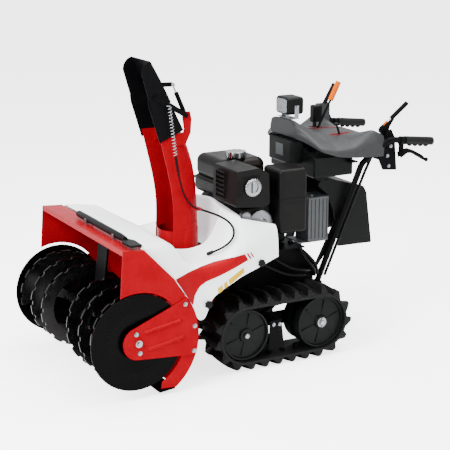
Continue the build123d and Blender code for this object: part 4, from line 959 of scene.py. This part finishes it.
# %% Sleeves and guide
lever_line = [(0, 473.6, 1013), (0, 486, 1037.2), (0, 500, 1064.5), (0, 512.4, 1088.6)]
new_piece("lever_sleeve", *tube_mesh(lever_line, 11.7, 20), orange_grip, "shift_lever", "orange_grip", 50)
STICK = (0, -634, 612.5)
foam_profile = [(-153, 8), (-151, 12), (-146, 13.5), (250, 13.5), (270, 13), (305, 10)]
new_piece("stick_sleeve", *turned_mesh(foam_profile, STICK, sides=24), black_abs, "clearing_stick",
          "black_plastic", 50)
guide_route = [(80, -240, 640), (116, -236, 637), (122, -214, 636), (104, -200, 636), (68, -214, 640)]
guide_line = spread(rounded(guide_route, 16), 40)
new_piece("cable_guide", *tube_mesh(guide_line, 2.5, 10), red_powder_coat, "chute", "red_paint", 60)

# %% [markdown]
# ## The free cable
# The deflector's outer cable leaves its guide on the turning chute, hangs in a loose
# loop and goes back into the cover. Its line is a NURBS curve, turned into short
# straight steps that a tube can follow.

# %% The free cable's line
CABLE_RADIUS = 4.5
cable_route = ((114.6, -214.2, 636.9), (150, -188, 629), (196, -168, 621), (240, -154, 608),
               (275, -150, 586), (293, -160, 558), (292, -186, 531), (277, -222, 508), (256, -248, 494))
curve = bpy.data.curves.new("cable_line", "CURVE")
curve.dimensions = "3D"
curve.resolution_u = 10
spline = curve.splines.new("NURBS")
spline.points.add(len(cable_route) - 1)
for point, place in zip(spline.points, cable_route):
    point.co = (place[0] * MM, place[1] * MM, place[2] * MM, 1)
spline.order_u = 3
spline.use_endpoint_u = True
cable_line = bpy.data.objects.new("cable_line", curve)
bpy.context.scene.collection.objects.link(cable_line)
bpy.context.view_layer.update()
line_mesh = bpy.data.meshes.new_from_object(cable_line.evaluated_get(bpy.context.evaluated_depsgraph_get()))
cable_path = [tuple(v.co) for v in line_mesh.vertices]
bpy.data.objects.remove(cable_line)

# %% [markdown]
# A round sheath follows the line and goes into the cover through a rubber grommet.

# %% The free cable
tube_points, tube_faces = tube_mesh(np.array(cable_path) * 1000, CABLE_RADIUS, 14)
cable_mesh = bpy.data.meshes.new("deflector_outer_cable")
cable_mesh.from_pydata([tuple(np.array(p) * MM) for p in tube_points], [], tube_faces)
cable_mesh.shade_smooth()
cable_mesh.materials.append(cable_sheath)
cable = bpy.data.objects.new("deflector_outer_cable", cable_mesh)
bpy.context.scene.collection.objects.link(cable)
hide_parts("deflector_cable")
grommet_line = [(264, -238.5, 500.5), (256, -248, 494.6), (249, -256.4, 489.4)]
new_piece("cable_grommet", *tube_mesh(grommet_line, 7, 16), moulded_rubber, "frame", "rubber", 40)
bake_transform(cable)
print("cable faces", len(cable_mesh.polygons))

# %% [markdown]
# ## Camera
# A long lens stands to the front left of the machine and a little above it, which
# keeps the tracks, the chute and the controls apart from each other.

# %% Camera
def look_from(azimuth, elevation, place, lens_mm):
    """A level camera at a place, turned by an azimuth and an elevation in degrees."""
    a, e = math.radians(azimuth), math.radians(elevation)
    back = Vector((math.sin(a) * math.cos(e), -math.cos(a) * math.cos(e), math.sin(e)))
    right = Vector((math.cos(a), math.sin(a), 0))
    up = back.cross(right)
    data = bpy.data.cameras.new("camera")
    data.lens, data.sensor_width, data.clip_end = lens_mm, 36.0, 100.0
    camera = bpy.data.objects.new("camera", data)
    camera.matrix_world = Matrix(((right.x, up.x, back.x, place[0]), (right.y, up.y, back.y, place[1]),
                                  (right.z, up.z, back.z, place[2]), (0, 0, 0, 1)))
    bpy.context.scene.collection.objects.link(camera)
    bpy.context.scene.camera = camera
    return camera


camera = look_from(61.3934, 14.5867, (4.6815, -2.5934, 1.9122), 105.25)
print("camera lens", camera.data.lens)

# %% [markdown]
# ## Studio floor
# A pale sweep lies under the machine. It glows until it is nearly white, but only where
# the camera sees it directly, so that the glow doesn't light the paint.

# %% Studio floor
def brighten_for_camera(tree, socket, seen, otherwise):
    """Sets a strength that the camera sees but the machine is not lit by."""
    ray = add_node(tree, "ShaderNodeLightPath").outputs["Is Camera Ray"]
    strength = add_node(tree, "ShaderNodeMapRange", {"Value": ray, "To Min": otherwise, "To Max": seen})
    tree.links.new(strength.outputs["Result"], socket)


FLOOR_HALF, FLOOR_Z = 30, -0.0005
floor_points = [(x * FLOOR_HALF, y * FLOOR_HALF, FLOOR_Z) for x, y in ((-1, -1), (1, -1), (1, 1), (-1, 1))]
floor_mesh = bpy.data.meshes.new("floor")
floor_mesh.from_pydata(floor_points, [], [(0, 1, 2, 3)])
floor = bpy.data.objects.new("floor", floor_mesh)
bpy.context.scene.collection.objects.link(floor)
studio_floor = finish("studio_floor", "F4F4F4", "F2F2F2", (0.7, 0.8), 20.0, 0.01, mottle_mm=2000)
floor_mesh.materials.append(studio_floor)
floor_shader = studio_floor.node_tree.nodes["Principled BSDF"]
floor_shader.inputs["Emission Color"].default_value = linear("FFFFFF")
brighten_for_camera(studio_floor.node_tree, floor_shader.inputs["Emission Strength"], 2.6, 0.0)
print("floor is", [round(v) for v in floor.dimensions], "m")

# %% [markdown]
# ## Studio light
# Three big soft boxes: the key from the left of the view, a weaker fill from its right,
# and one overhead that draws the top edges. An even sky closes the room, so glossy
# paint has something to reflect. It too is brighter to the camera than to the machine.

# %% Studio light
def soft_box(name, place, aim, size, power):
    """A square area light that faces a point."""
    data = bpy.data.lights.new(name, "AREA")
    data.shape, data.size, data.energy = "SQUARE", size, power
    lamp = bpy.data.objects.new(name, data)
    lamp.location = place
    lamp.rotation_euler = (Vector(aim) - Vector(place)).to_track_quat("-Z", "Y").to_euler()
    bpy.context.scene.collection.objects.link(lamp)
    return lamp


soft_box("key", (1.5, -4.2, 3.4), (0, -0.2, 0.5), 2.2, 620)
soft_box("fill", (5.0, 1.8, 2.6), (0, 0.1, 0.5), 2.4, 120)
soft_box("top", (0.2, 0.6, 4.2), (0, 0, 0.4), 3.0, 380)
world = bpy.data.worlds.new("studio")
bpy.context.scene.world = world
world.use_nodes = True
sky = world.node_tree.nodes["Background"]
sky.inputs["Color"].default_value = linear("F7F8FA")
brighten_for_camera(world.node_tree, sky.inputs["Strength"], 4.6, 1.55)
print("lights", len(bpy.data.lights))
